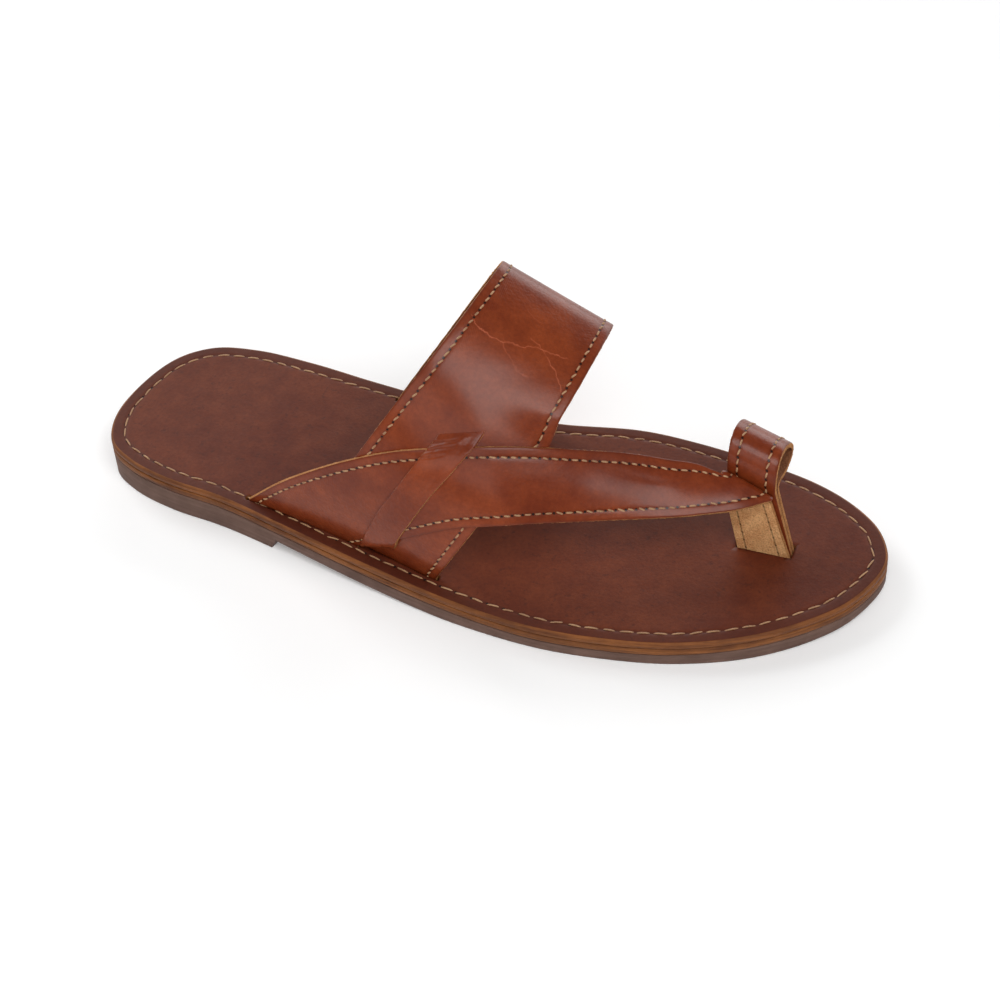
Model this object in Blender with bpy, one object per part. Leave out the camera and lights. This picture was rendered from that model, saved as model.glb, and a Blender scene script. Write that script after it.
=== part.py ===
"""A right-foot leather sandal: a wide instep band, a diagonal toe strap that runs under a bridge cut in
the band, a toe ring, and a sole of insole, midsole and rubber outsole.

Units are metres. Along the sandal, sizes are counted from the back of the heel. Across it, +Y is the
medial side, where the big toe lies, and Y = 0 is the middle of the sole's width. Z = 0 is the floor.
"""

import bpy
import bmesh
import numpy as np

# Driving sizes of the sole. The heel's breast and the arch's end are shares of its length.
SOLE_LENGTH = 0.280
BALL_WIDTH = 0.104
HEEL_HEIGHT = 0.0148
BALL_HEIGHT = 0.0094
TOE_SPRING = 0.0026
HEEL_BREAST = 0.279
ARCH_END = 0.529
ARCH_LIFT = 0.0044

# Leather, rubber and the fits between them
INSOLE = 0.0025
MIDSOLE = 0.0025
WALL = 0.0018
GAP = 0.0003
JOIN = 0.0002

# The foot form that the straps are laid on
INSTEP_HEIGHT = 0.0810
TOE_HEIGHT = 0.0400
SWELL = 0.0025

# The bridge that is cut in the band, the slots' ends, and the toe ring. TOE_POST is the place across the
# foot of the strap's end, as a share of the ball width, and TOE_SLOT the slot's start along the length.
BRIDGE_EDGE = 0.0012
SLOT_END = 0.0010
TOE_POST = 0.074
TOE_BEND = 0.0007
TOE_SLOT = 0.8207
RING_WIDTH = 0.0165
TOE_SLOT_ROOM = 0.0028
TOE_SLOT_LENGTH = RING_WIDTH + TOE_SLOT_ROOM
RING_LEAN = 0.0068
RING_REACH = 0.0189
RING_PINCH = 0.0360
RING_RISE = 0.0112
RING_SLOPE = 0.35

# Mesh densities
OUTLINE_STEPS = 56
TURN_STEPS = 44
BAND_COLUMNS = 8
STRAP_STEPS = 52
STRAP_COLUMNS = 8
RING_STEPS = 60

# along: share of the sole length; medial, lateral: shares of the ball width
OUTLINE = (
    # along, medial, lateral
    (0.000, -0.039, -0.039),
    (0.020, 0.250, -0.197),
    (0.060, 0.363, -0.267),
    (0.120, 0.403, -0.310),
    (0.200, 0.402, -0.331),
    (0.300, 0.389, -0.382),
    (0.420, 0.391, -0.442),
    (0.540, 0.430, -0.488),
    (0.640, 0.496, -0.499),
    (0.720, 0.499, -0.474),
    (0.800, 0.474, -0.422),
    (0.880, 0.427, -0.323),
    (0.940, 0.350, -0.198),
    (0.980, 0.254, -0.066),
    (1.000, 0.122, 0.122),
)

# along: share of the sole length; drop: share of the heel's height over the ball;
# bed, tread: shares of the toe spring that the foot bed and the outsole's underside take
PROFILE = (
    # along, drop, bed, tread
    (0.000, 1.00, 0.00, 0.00),
    (0.180, 1.00, 0.00, 0.00),
    (0.286, 0.82, 0.00, 0.00),
    (0.357, 0.63, 0.00, 0.00),
    (0.430, 0.43, 0.00, 0.00),
    (0.500, 0.24, 0.00, 0.00),
    (0.570, 0.09, 0.00, 0.00),
    (0.640, 0.00, 0.00, 0.00),
    (0.700, 0.00, 0.00, 0.00),
    (0.780, 0.00, 0.08, 0.00),
    (0.857, 0.00, 0.32, 0.02),
    (0.930, 0.00, 0.66, 0.22),
    (1.000, 0.00, 1.00, 1.00),
)

# Sections of the foot form. along: share of the sole length; lateral, medial, ridge: shares of the ball
# width; height: share of the instep or toe height; fullness: exponent of the lateral side's curve
INSTEP_FORM = (
    # along, lateral, medial, ridge, height, fullness
    (0.179, -0.282, 0.357, 0.117, 1.186, 2.0),
    (0.321, -0.325, 0.372, 0.126, 1.165, 2.0),
    (0.429, -0.378, 0.386, 0.146, 1.098, 2.0),
    (0.500, -0.417, 0.396, 0.165, 1.000, 2.0),
    (0.589, -0.431, 0.396, 0.165, 0.866, 1.9),
    (0.661, -0.422, 0.396, 0.165, 0.756, 1.8),
)
TOE_FORM = (
    # along, lateral, medial, ridge, height, fullness
    (0.571, -0.402, 0.405, 0.165, 1.250, 1.8),
    (0.679, -0.326, 0.405, 0.165, 1.000, 1.8),
    (0.750, -0.258, 0.405, 0.165, 0.875, 1.9),
    (0.818, -0.191, 0.405, 0.175, 0.738, 2.0),
    (0.875, -0.114, 0.405, 0.175, 0.550, 2.0),
)
MEDIAL_FULLNESS = 3.2
TOES_BEGIN = 0.536
TOES_FULL = 0.764

# The band's edges lie in leaning planes: the start at the floor, as a share of the sole length, and the
# lean forward for each metre across and up. The front edge follows the lower plane, then the upper one.
BAND_REAR = (0.298, 0.054, 0.594)
BAND_FRONT_LOW = (0.500, 0.120, 0.558)
BAND_FRONT_HIGH = (0.5243, -0.008, 0.425)
BAND_FRONT_BLEND = 0.0015

# Turns between which the strap presses the band's front down on to the toe form, and its soft ends
BAND_PRESSED = (0.120, 0.170, 0.285, 0.340)

# The diagonal strap's two edges on the foot form. along: share of the sole length;
# turn: 0 at the lateral edge of the foot bed, 0.5 on the ridge, 1 at the medial edge
STRAP = (
    # upper along, upper turn, lower along, lower turn
    (0.236, 0.000, 0.393, 0.000),
    (0.286, 0.048, 0.418, 0.017),
    (0.343, 0.093, 0.450, 0.043),
    (0.407, 0.141, 0.489, 0.077),
    (0.479, 0.194, 0.532, 0.112),
    (0.548, 0.241, 0.580, 0.146),
    (0.606, 0.287, 0.630, 0.183),
    (0.654, 0.327, 0.680, 0.214),
    (0.703, 0.365, 0.732, 0.242),
    (0.743, 0.391, 0.780, 0.269),
    (0.775, 0.411, 0.823, 0.312),
    (0.799, 0.414, 0.859, 0.390),
)

# The bridge: rear and front edges, and how far its inner and outer faces stand on the strap,
# as shares of the leather's thickness
BRIDGE = (
    # rear along, rear turn, front along, front turn, inner, outer
    (0.399, 0.000, 0.447, 0.020, 0.30, 0.75),
    (0.401, 0.005, 0.455, 0.037, 0.95, 1.95),
    (0.406, 0.017, 0.461, 0.052, 1.55, 2.55),
    (0.431, 0.073, 0.482, 0.097, 1.75, 2.75),
    (0.455, 0.119, 0.504, 0.147, 1.75, 2.75),
    (0.474, 0.160, 0.521, 0.183, 1.75, 2.75),
    (0.487, 0.192, 0.536, 0.220, 1.55, 2.60),
    (0.495, 0.213, 0.545, 0.243, 0.80, 1.70),
    (0.500, 0.228, 0.550, 0.264, 0.30, 0.75),
)
WINDOW_ROWS = (0.26, 0.80)

# The toe ring's loop, seen along the foot. across: share of the ring's reach from its near leg;
# rise: share of the ring's rise above the pinch where its two legs meet
RING_LOOP = (
    # across, rise
    (0.005, 0.357),
    (0.042, 0.625),
    (0.148, 0.884),
    (0.339, 1.000),
    (0.561, 0.929),
    (0.804, 0.696),
    (0.958, 0.429),
    (1.000, 0.286),
    (0.989, 0.152),
    (0.942, 0.045),
    (0.836, 0.009),
    (0.672, -0.027),
    (0.460, 0.000),
    (0.275, 0.071),
    (0.164, 0.027),
    (0.122, -0.179),
)


def clear_scene():
    for thing in list(bpy.data.objects):
        bpy.data.objects.remove(thing, do_unlink=True)


def read_table(table, column, at):
    """A column of a table read at any place: a smooth curve that never passes beyond its rows."""
    places = np.array([row[0] for row in table], float)
    values = np.array([row[column] for row in table], float)
    steps = np.diff(places)
    rates = np.diff(values) / steps
    slopes = np.zeros(len(places))
    slopes[0], slopes[-1] = rates[0], rates[-1]
    same = rates[:-1] * rates[1:] > 0
    before, after = np.where(same, rates[:-1], 1.0), np.where(same, rates[1:], 1.0)
    near, far = 2 * steps[1:] + steps[:-1], steps[1:] + 2 * steps[:-1]
    slopes[1:-1] = np.where(same, (near + far) / (near / before + far / after), 0.0)
    at = np.clip(np.asarray(at, float), places[0], places[-1])
    i = np.clip(np.searchsorted(places, at) - 1, 0, len(steps) - 1)
    s = (at - places[i]) / steps[i]
    return (
        (1 + 2 * s) * (1 - s) ** 2 * values[i]
        + s * (1 - s) ** 2 * steps[i] * slopes[i]
        + s * s * (3 - 2 * s) * values[i + 1]
        + s * s * (s - 1) * steps[i] * slopes[i + 1]
    )


def ease(start, end, at):
    s = np.clip((at - start) / (end - start), 0, 1)
    return s * s * (3 - 2 * s)


def smooth_loop(points, steps, closed):
    """A centripetal Catmull-Rom curve through the points, with the same number of steps in each gap."""
    points = np.asarray(points, float)
    if closed:
        ring = np.vstack([points[-1], points, points[:2]])
    else:
        ring = np.vstack([2 * points[0] - points[1], points, 2 * points[-1] - points[-2]])
    curve = []
    for a, b, c, d in zip(ring[:-3], ring[1:-2], ring[2:-1], ring[3:]):
        knots = np.cumsum([0] + [np.linalg.norm(q - p) ** 0.5 for p, q in ((a, b), (b, c), (c, d))])
        t = np.linspace(knots[1], knots[2], steps, endpoint=False)[:, None]
        k0, k1, k2, k3 = knots
        ab = (k1 - t) / (k1 - k0) * a + (t - k0) / (k1 - k0) * b
        bc = (k2 - t) / (k2 - k1) * b + (t - k1) / (k2 - k1) * c
        cd = (k3 - t) / (k3 - k2) * c + (t - k2) / (k3 - k2) * d
        abc = (k2 - t) / (k2 - k0) * ab + (t - k0) / (k2 - k0) * bc
        bcd = (k3 - t) / (k3 - k1) * bc + (t - k1) / (k3 - k1) * cd
        curve.append((k2 - t) / (k2 - k1) * abc + (t - k1) / (k2 - k1) * bcd)
    return np.vstack(curve + ([] if closed else [points[-1:]]))


def spaced(curve, count):
    """The same curve with its points at equal distances."""
    length = np.concatenate([[0], np.cumsum(np.linalg.norm(np.diff(curve, axis=0), axis=1))])
    at = np.linspace(0, length[-1], count)
    return np.stack([np.interp(at, length, curve[:, k]) for k in range(curve.shape[1])], axis=1)


def sole_sides():
    """The outline's medial and lateral sides, from the heel's tip to the toe's, as equal rows of points."""
    medial = [(along * SOLE_LENGTH, m * BALL_WIDTH) for along, m, _ in OUTLINE]
    lateral = [(along * SOLE_LENGTH, l * BALL_WIDTH) for along, _, l in OUTLINE[1:-1]]
    loop = smooth_loop(medial + lateral[::-1], 12, closed=True)
    toe = 12 * (len(medial) - 1)
    halves = loop[: toe + 1], np.vstack([loop[toe:], loop[:1]])[::-1]
    sides = [spaced(half, OUTLINE_STEPS) for half in halves]
    low = min(side[:, 0].min() for side in sides)
    high = max(side[:, 0].max() for side in sides)
    return [np.column_stack([(side[:, 0] - low) * SOLE_LENGTH / (high - low), side[:, 1]]) for side in sides]


def bed_height(along):
    """Top of the insole above the floor."""
    share = np.asarray(along) / SOLE_LENGTH
    drop = read_table(PROFILE, 1, share) * (HEEL_HEIGHT - BALL_HEIGHT)
    return BALL_HEIGHT + drop + read_table(PROFILE, 2, share) * TOE_SPRING


def tread_height(along):
    return read_table(PROFILE, 3, np.asarray(along) / SOLE_LENGTH) * TOE_SPRING


def form_section(table, along, turn):
    """A point of the foot form: the lateral and medial halves of a section are quarters of a superellipse
    about the ridge, and both draw in a little where the leather goes down into the sole."""
    share = along / SOLE_LENGTH
    lateral, medial, ridge = (read_table(table, k, share) * BALL_WIDTH for k in (1, 2, 3))
    height = read_table(table, 4, share) * (INSTEP_HEIGHT if table is INSTEP_FORM else TOE_HEIGHT)
    across, up = np.cos(turn * np.pi), np.clip(np.sin(turn * np.pi), 0, 1)
    side = np.sign(across)
    power = 2 / np.where(side > 0, read_table(table, 5, share), MEDIAL_FULLNESS)
    half = np.where(side > 0, ridge - lateral, medial - ridge)
    rise = up**power
    draw = np.where(side > 0, SWELL, 2 * SWELL) * np.clip(1 - rise / 0.35, 0, 1) ** 2
    y = ridge - side * (half * np.abs(across) ** power - draw)
    return np.stack(np.broadcast_arrays(along, y, bed_height(along) + height * rise), axis=-1)


def foot_form(along, turn, toes):
    """The instep form, which passes into the toe form where toes is true."""
    instep = form_section(INSTEP_FORM, along, turn)
    if not toes:
        return instep
    share = ease(TOES_BEGIN * SOLE_LENGTH, TOES_FULL * SOLE_LENGTH, along)[..., None]
    return instep * (1 - share) + form_section(TOE_FORM, along, turn) * share


def laid(along, turn, lift, toes=False):
    """Points that lie on the foot form, lifted off it along its outward normal."""
    d_along, d_turn = 1e-4, 1e-3
    points = foot_form(along, turn, toes)
    forward = foot_form(along + d_along, turn, toes) - foot_form(along - d_along, turn, toes)
    around = foot_form(along, turn + d_turn, toes) - foot_form(along, turn - d_turn, toes)
    at_base = (turn <= 0) | (turn >= 1)
    normal = np.cross(around, forward)
    normal[..., 0] = np.where(at_base, 0, normal[..., 0])
    normal[..., 2] = np.where(at_base, 0, normal[..., 2])
    normal /= np.linalg.norm(normal, axis=-1, keepdims=True)
    middle = np.stack(np.broadcast_arrays(along, 0.010, bed_height(along)), axis=-1)
    outward = np.sign((normal * (points - middle)).sum(-1, keepdims=True))
    return points + normal * outward * np.asarray(lift)[..., None]


def to_world(points):
    """From the heel's back to the middle of the sandal."""
    return points - np.array([SOLE_LENGTH / 2, 0, 0])


def new_object(name, points, faces):
    mesh = bpy.data.meshes.new(name)
    mesh.from_pydata(to_world(points).tolist(), [], [list(face) for face in faces])
    build = bmesh.new()
    build.from_mesh(mesh)
    bmesh.ops.triangulate(build, faces=[face for face in build.faces if len(face.verts) > 3])
    bmesh.ops.recalc_face_normals(build, faces=build.faces)
    build.to_mesh(mesh)
    build.free()
    thing = bpy.data.objects.new(name, mesh)
    bpy.context.scene.collection.objects.link(thing)
    return thing


def slab(name, lower, upper):
    """A closed solid between two grids of points of the same size."""
    rows, columns = lower.shape[:2]
    index = np.arange(rows * columns).reshape(rows, columns)
    top = index + rows * columns
    faces = []
    for r in range(rows - 1):
        for c in range(columns - 1):
            ring = (index[r, c], index[r, c + 1], index[r + 1, c + 1], index[r + 1, c])
            faces.append(ring)
            faces.append(tuple(v + rows * columns for v in ring[::-1]))
    border = [*index[0, :-1], *index[:-1, -1], *index[-1, :0:-1], *index[:0:-1, 0]]
    for a, b in zip(border, border[1:] + border[:1]):
        faces.append((b, a, a + top[0, 0], b + top[0, 0]))
    return new_object(name, np.vstack([lower.reshape(-1, 3), upper.reshape(-1, 3)]), faces)


def cut_or_join(thing, other, operation):
    """Applies a Boolean with the other object and removes it."""
    step = thing.modifiers.new(operation.lower(), "BOOLEAN")
    step.operation = operation
    step.object = other
    evaluated = thing.evaluated_get(bpy.context.evaluated_depsgraph_get())
    mesh = bpy.data.meshes.new_from_object(evaluated)
    thing.modifiers.clear()
    old = thing.data
    thing.data = mesh
    bpy.data.meshes.remove(old)
    bpy.data.objects.remove(other, do_unlink=True)


def finish(thing, colour, roughness):
    material = bpy.data.materials.new(thing.name)
    material.use_nodes = True
    shader = material.node_tree.nodes["Principled BSDF"]
    shader.inputs["Base Color"].default_value = (*colour, 1)
    shader.inputs["Roughness"].default_value = roughness
    shader.inputs["Metallic"].default_value = 0
    thing.data.materials.clear()
    thing.data.materials.append(material)


def sole_layer(name, lower, upper):
    """A layer of the sole's outline between two heights along the sole."""
    medial, lateral = sole_sides()
    rows = []
    for height in (lower, upper):
        sides = [np.column_stack([side, height(side[:, 0])]) for side in (medial, lateral)]
        shares = np.linspace(0, 1, 5)[:, None, None]
        rows.append(np.moveaxis(sides[0] * (1 - shares) + sides[1] * shares, 0, 1))
    rows = [grid[1:-1] for grid in rows]
    tips = []
    for height in (lower, upper):
        ends = medial[[0, -1]]
        tips.append(np.column_stack([ends, height(ends[:, 0])]))
    return tipped_slab(name, rows, tips)


def tipped_slab(name, grids, tips):
    """A slab between two grids whose first and last rows close on a single tip."""
    rows, columns = grids[0].shape[:2]
    index = np.arange(rows * columns).reshape(rows, columns)
    count = rows * columns + 2
    heel, toe = count - 2, count - 1
    faces = []
    for r in range(rows - 1):
        for c in range(columns - 1):
            faces.append((index[r, c], index[r, c + 1], index[r + 1, c + 1], index[r + 1, c]))
    for c in range(columns - 1):
        faces.append((heel, index[0, c + 1], index[0, c]))
        faces.append((toe, index[-1, c], index[-1, c + 1]))
    faces += [tuple(v + count for v in face[::-1]) for face in faces]
    border = [heel, *index[:, -1], toe, *index[::-1, 0]]
    for a, b in zip(border, border[1:] + border[:1]):
        faces.append((b, a, a + count, b + count))
    points = [np.vstack([grid.reshape(-1, 3), tip]) for grid, tip in zip(grids, tips)]
    return new_object(name, np.vstack(points), faces)


def make_outsole():
    """Rubber, thick under the heel, with a step at the breast and an arch that comes down to the ball."""
    top = INSOLE + MIDSOLE + 2 * GAP
    outsole = sole_layer("outsole", tread_height, lambda along: bed_height(along) - top)
    share = np.linspace(0, 1, 15)
    along = (HEEL_BREAST * (1 - share) + ARCH_END * share) * SOLE_LENGTH
    arch = ARCH_LIFT * (1 - share) ** 1.3
    grid = [
        np.array([[(x, y, z) for y in (-BALL_WIDTH, BALL_WIDTH)] for x, z in zip(along, heights)])
        for heights in (np.full(len(along), -ARCH_LIFT), arch)
    ]
    cut_or_join(outsole, slab("arch_cutter", *grid), "DIFFERENCE")
    return outsole


def band_edge(turns, plane_of):
    """Where the form, at each turn, meets an edge's leaning plane."""
    along = np.full(len(turns), SOLE_LENGTH / 2)
    for _ in range(80):
        points = laid(along, turns, np.full(len(turns), WALL))
        along = (along + plane_of(points[:, 1], points[:, 2])) / 2
    return along


def leaning_plane(plane, y, z):
    start, sweep, lean = plane
    return start * SOLE_LENGTH + sweep * y + lean * z


def rear_plane(y, z):
    return leaning_plane(BAND_REAR, y, z)


def front_plane(y, z):
    low = leaning_plane(BAND_FRONT_LOW, y, z)
    high = leaning_plane(BAND_FRONT_HIGH, y, z)
    return (low + high - np.sqrt((low - high) ** 2 + BAND_FRONT_BLEND**2)) / 2


def tail(row):
    """A row of points at the foot bed, moved straight down through the insole."""
    return row - np.array([0, 0, INSOLE])


def band_pressed(turn):
    start, full, still, end = BAND_PRESSED
    return ease(start, full, turn) * (1 - ease(still, end, turn))


def band_grid(lift):
    """The band's face at a lift off the form, with a tail through the insole at each end."""
    turns = (1 - np.cos(np.linspace(0, np.pi, TURN_STEPS))) / 2
    turns = 0.35 * turns + 0.65 * np.linspace(0, 1, TURN_STEPS)
    edges = [band_edge(turns, plane) for plane in (rear_plane, front_plane)]
    shares = np.linspace(0, 1, BAND_COLUMNS + 1)[None, :]
    along = edges[0][:, None] * (1 - shares) + edges[1][:, None] * shares
    turn = np.broadcast_to(turns[:, None], along.shape)
    free, pressed = (laid(along, turn, np.full(along.shape, lift), toes) for toes in (False, True))
    share = band_pressed(turn)[..., None]
    grid = free * (1 - share) + pressed * share
    return np.concatenate([tail(grid[:1]), grid, tail(grid[-1:])])


def edge_rows(table, rows, columns, steps):
    """Edge places of a strap read at equal shares of its table, and the places between them."""
    place = np.linspace(0, 1, len(table))
    at = np.linspace(rows[0], rows[1], steps)
    read = [read_table([(p, row[k]) for p, row in zip(place, table)], 1, at) for k in range(len(table[0]))]
    shares = np.linspace(0, 1, columns + 1)[None, :]
    along = (read[0][:, None] * (1 - shares) + read[2][:, None] * shares) * SOLE_LENGTH
    turn = read[1][:, None] * (1 - shares) + read[3][:, None] * shares
    return along, turn, read[4:]


def strap_faces():
    """The strap's flesh and grain faces: up from the insole, over the foot, then bent down between the
    toes to the slot in the insole."""
    along, turn, _ = edge_rows(STRAP, (0, 1), STRAP_COLUMNS, STRAP_STEPS)
    lifts = (WALL - JOIN, 2 * WALL - JOIN)
    faces = [laid(along, turn, np.full(along.shape, lift), toes=True) for lift in lifts]
    normal = (faces[1][-1] - faces[0][-1]) / WALL
    post = TOE_POST * BALL_WIDTH
    shift = post - WALL - TOE_BEND * (1 - normal[:, 1]) - faces[0][-1][:, 1]
    share = ease(STRAP_STEPS - 9, STRAP_STEPS - 1, np.arange(STRAP_STEPS))
    for face in faces:
        face[..., 1] += share[:, None] * shift
    centre = faces[0][-1] - normal * TOE_BEND
    inward = np.array([0, 1.0, 0])
    angle = np.arccos(normal[:, 1])[:, None]
    ends = GAP + 0.3 * INSOLE, TOE_SLOT_LENGTH - GAP
    slot = TOE_SLOT * SOLE_LENGTH + np.linspace(*ends, STRAP_COLUMNS + 1)
    posts = []
    for face, radius, y in zip(faces, (TOE_BEND, TOE_BEND + WALL), (post - WALL, post)):
        rows = []
        for part in (0.2, 0.4, 0.6, 0.8, 1.0):
            way = (normal * np.sin((1 - part) * angle) + inward * np.sin(part * angle)) / np.sin(angle)
            rows.append(centre + radius * way)
        foot = np.column_stack([slot, np.full(len(slot), y), bed_height(slot) - INSOLE])
        rows += [rows[-1] * (1 - part) + foot * part for part in (0.2, 0.4, 0.6, 0.8, 1.0)]
        posts.append(np.concatenate([tail(face[:1]), face, np.array(rows)]))
    return posts


def bridge_grid(face):
    """The bridge's inner face, 0, or outer face, 1."""
    along, turn, lifts = edge_rows(BRIDGE, (0, 1), 4, 30)
    lift = np.broadcast_to(lifts[face][:, None] * WALL, along.shape)
    return laid(along, turn, lift)


def window_grid(lift):
    """The opening that the bridge was cut from, a little narrower than the bridge."""
    along, turn, _ = edge_rows(BRIDGE, WINDOW_ROWS, 4, 14)
    inset = np.linspace(BRIDGE_EDGE, -BRIDGE_EDGE, along.shape[1])[None, :]
    return laid(along + inset, turn, np.full(along.shape, lift))


def make_upper():
    """Band, strap and bridge, each laid on the foot form and joined where they cross."""
    upper = slab("upper", band_grid(0.0), band_grid(WALL))
    window = slab("window_cutter", window_grid(-WALL), window_grid(2 * WALL))
    cut_or_join(upper, window, "DIFFERENCE")
    strap = slab("strap", *strap_faces())
    cut_or_join(upper, strap, "UNION")
    bridge = slab("bridge", bridge_grid(0), bridge_grid(1))
    cut_or_join(upper, bridge, "UNION")
    return upper


def slot_cutter(name, inner, outer):
    """A prism through the insole round a tail's foot line, with room at its sides and ends."""
    across = (outer - inner) / np.linalg.norm(outer - inner, axis=1, keepdims=True)
    along = (inner[-1] - inner[0]) / np.linalg.norm(inner[-1] - inner[0])
    lines = [inner - across * GAP, outer + across * GAP]
    for line in lines:
        line[0] -= along * SLOT_END
        line[-1] += along * SLOT_END
    pair = np.stack(lines, axis=1)
    depth = np.array([0, 0, 2 * INSOLE])
    return slab(name, pair - depth, pair + depth)


def toe_slot_cutter():
    """One slot takes the strap's end and both legs of the toe ring."""
    along = TOE_SLOT * SOLE_LENGTH + np.linspace(0, TOE_SLOT_LENGTH, 3)
    post = TOE_POST * BALL_WIDTH
    sides = (post - WALL - GAP, post + 2 * WALL + 3 * GAP)
    pair = np.array([[(x, y, bed_height(x)) for y in sides] for x in along])
    depth = np.array([0, 0, 2 * INSOLE])
    return slab("toe_slot", pair - depth, pair + depth)


def make_insole():
    """The foot bed with a slot for each tail and one at the toes."""
    insole = sole_layer("insole", lambda along: bed_height(along) - INSOLE, bed_height)
    band = band_grid(0.0), band_grid(WALL)
    strap = strap_faces()
    feet = ((band[0][1], band[1][1]), (band[0][-2], band[1][-2]), (strap[0][1], strap[1][1]))
    for k, (inner, outer) in enumerate(feet):
        cut_or_join(insole, slot_cutter(f"slot_{k}", inner, outer), "DIFFERENCE")
    cut_or_join(insole, toe_slot_cutter(), "DIFFERENCE")
    return insole


def ring_path():
    """The ring's middle line seen along the foot: up the near leg, round the loop, down the far leg."""
    near = TOE_POST * BALL_WIDTH + GAP + WALL / 2
    far = near + WALL + GAP
    base = float(bed_height(TOE_SLOT * SOLE_LENGTH)) - INSOLE
    up = [(near, base + part * (RING_PINCH - base)) for part in (0, 0.3, 0.6, 0.9)]
    loop = [(near + across * RING_REACH, RING_PINCH + rise * RING_RISE) for across, rise in RING_LOOP]
    down = [(far, base + part * (RING_PINCH - base)) for part in (0.75, 0.5, 0.25, 0)]
    return spaced(smooth_loop(up + loop + down, 6, closed=False), RING_STEPS)


def ring_faces():
    """The ring leather's two faces. Its width runs along the foot, down toward the toe's tip."""
    path = ring_path()
    tangent = np.gradient(path, axis=0)
    tangent /= np.linalg.norm(tangent, axis=1, keepdims=True)
    normal = np.column_stack([-tangent[:, 1], tangent[:, 0]])
    base = path[0, 1]
    up = np.clip((path[:, 1] - base) / (RING_PINCH - base), 0, 1)
    slot_front = TOE_SLOT * SOLE_LENGTH + TOE_SLOT_LENGTH - GAP
    faces = []
    for side in (-0.5, 0.5):
        line = path + normal * side * WALL
        columns = []
        for part in np.linspace(0, 1, 5):
            x = slot_front - RING_LEAN * up - part * RING_WIDTH
            sole = bed_height(x) - INSOLE - base
            z = line[:, 1] + part * RING_WIDTH * RING_SLOPE * up + sole * (1 - up)
            columns.append(np.column_stack([x, line[:, 0], z]))
        faces.append(np.stack(columns, axis=1))
    return faces


def make_toe_ring():
    return slab("toe_ring", *ring_faces())


def main():
    clear_scene()
    outsole = make_outsole()
    midsole_top = INSOLE + GAP
    midsole = sole_layer(
        "midsole",
        lambda along: bed_height(along) - midsole_top - MIDSOLE,
        lambda along: bed_height(along) - midsole_top,
    )
    insole = make_insole()
    upper = make_upper()
    ring = make_toe_ring()
    finish(outsole, (0.13, 0.085, 0.065), 0.75)
    finish(midsole, (0.36, 0.16, 0.06), 0.6)
    finish(insole, (0.16, 0.045, 0.025), 0.55)
    finish(upper, (0.28, 0.075, 0.03), 0.35)
    finish(ring, (0.28, 0.075, 0.03), 0.35)


main()
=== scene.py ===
# %% [markdown]
# # A leather sandal
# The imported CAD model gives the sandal's real shape and size. This lesson puts the finish on it: finely
# curved leather straps with cut edges, creases and thread, a stitched foot bed, and a layered sole.
# Every piece is a grid of points worked out with numpy, in metres, in the same frame as the CAD.

import bmesh
import bpy
import numpy as np
from mathutils import Matrix


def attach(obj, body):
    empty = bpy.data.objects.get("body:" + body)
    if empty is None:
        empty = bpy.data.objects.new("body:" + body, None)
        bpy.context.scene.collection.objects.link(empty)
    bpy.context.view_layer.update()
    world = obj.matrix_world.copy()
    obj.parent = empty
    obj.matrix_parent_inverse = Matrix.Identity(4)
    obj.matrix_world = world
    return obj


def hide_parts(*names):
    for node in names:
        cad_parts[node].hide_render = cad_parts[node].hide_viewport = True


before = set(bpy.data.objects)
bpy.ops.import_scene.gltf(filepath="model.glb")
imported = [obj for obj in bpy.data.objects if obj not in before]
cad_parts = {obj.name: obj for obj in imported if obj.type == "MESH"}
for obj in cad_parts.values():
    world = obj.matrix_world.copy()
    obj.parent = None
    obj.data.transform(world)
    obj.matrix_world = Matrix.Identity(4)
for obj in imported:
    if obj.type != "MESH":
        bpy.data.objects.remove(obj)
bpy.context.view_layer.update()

# %% [markdown]
# ## The camera
# The photograph looks down at the sandal's outer side. The camera stands on a line from the middle of the
# sole, turned about the vertical, raised above the floor and rolled a little.

# %% Camera
TARGET = np.array([0.0, 0.00415, 0.0])
AZIMUTH, ELEVATION, ROLL = np.radians((24.99, 43.54, -4.0))
DISTANCE = 0.8401

flat_way = np.array([np.sin(AZIMUTH), -np.cos(AZIMUTH), 0.0])
back = flat_way * np.cos(ELEVATION) + np.array([0.0, 0.0, np.sin(ELEVATION)])
right = np.array([np.cos(AZIMUTH), np.sin(AZIMUTH), 0.0])
up = np.cross(back, right)
rolled_right = np.cos(ROLL) * right + np.sin(ROLL) * up
rolled_up = np.cos(ROLL) * up - np.sin(ROLL) * right
lens = bpy.data.cameras.new("camera")
lens.lens, lens.sensor_width = 86.4, 36.0
lens.shift_x, lens.shift_y = 0.01171, 0.01036
lens.clip_start, lens.clip_end = 0.01, 50.0
camera = bpy.data.objects.new("camera", lens)
place = np.eye(4)
place[:3, :3] = np.column_stack([rolled_right, rolled_up, back])
place[:3, 3] = TARGET + back * DISTANCE
camera.matrix_world = Matrix(place.tolist())
bpy.context.scene.collection.objects.link(camera)
bpy.context.scene.camera = camera
print("camera at", np.round(place[:3, 3], 4))

# %% [markdown]
# ## Curves and tables
# The sole's outline, its heights and the foot that the straps lie on are short tables of shares of a few
# named sizes. A table is read as a smooth curve that never passes beyond its rows, so that a strap laid on
# it has no bumps.

# %% Reading tables and easing
MM = 0.001


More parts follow.
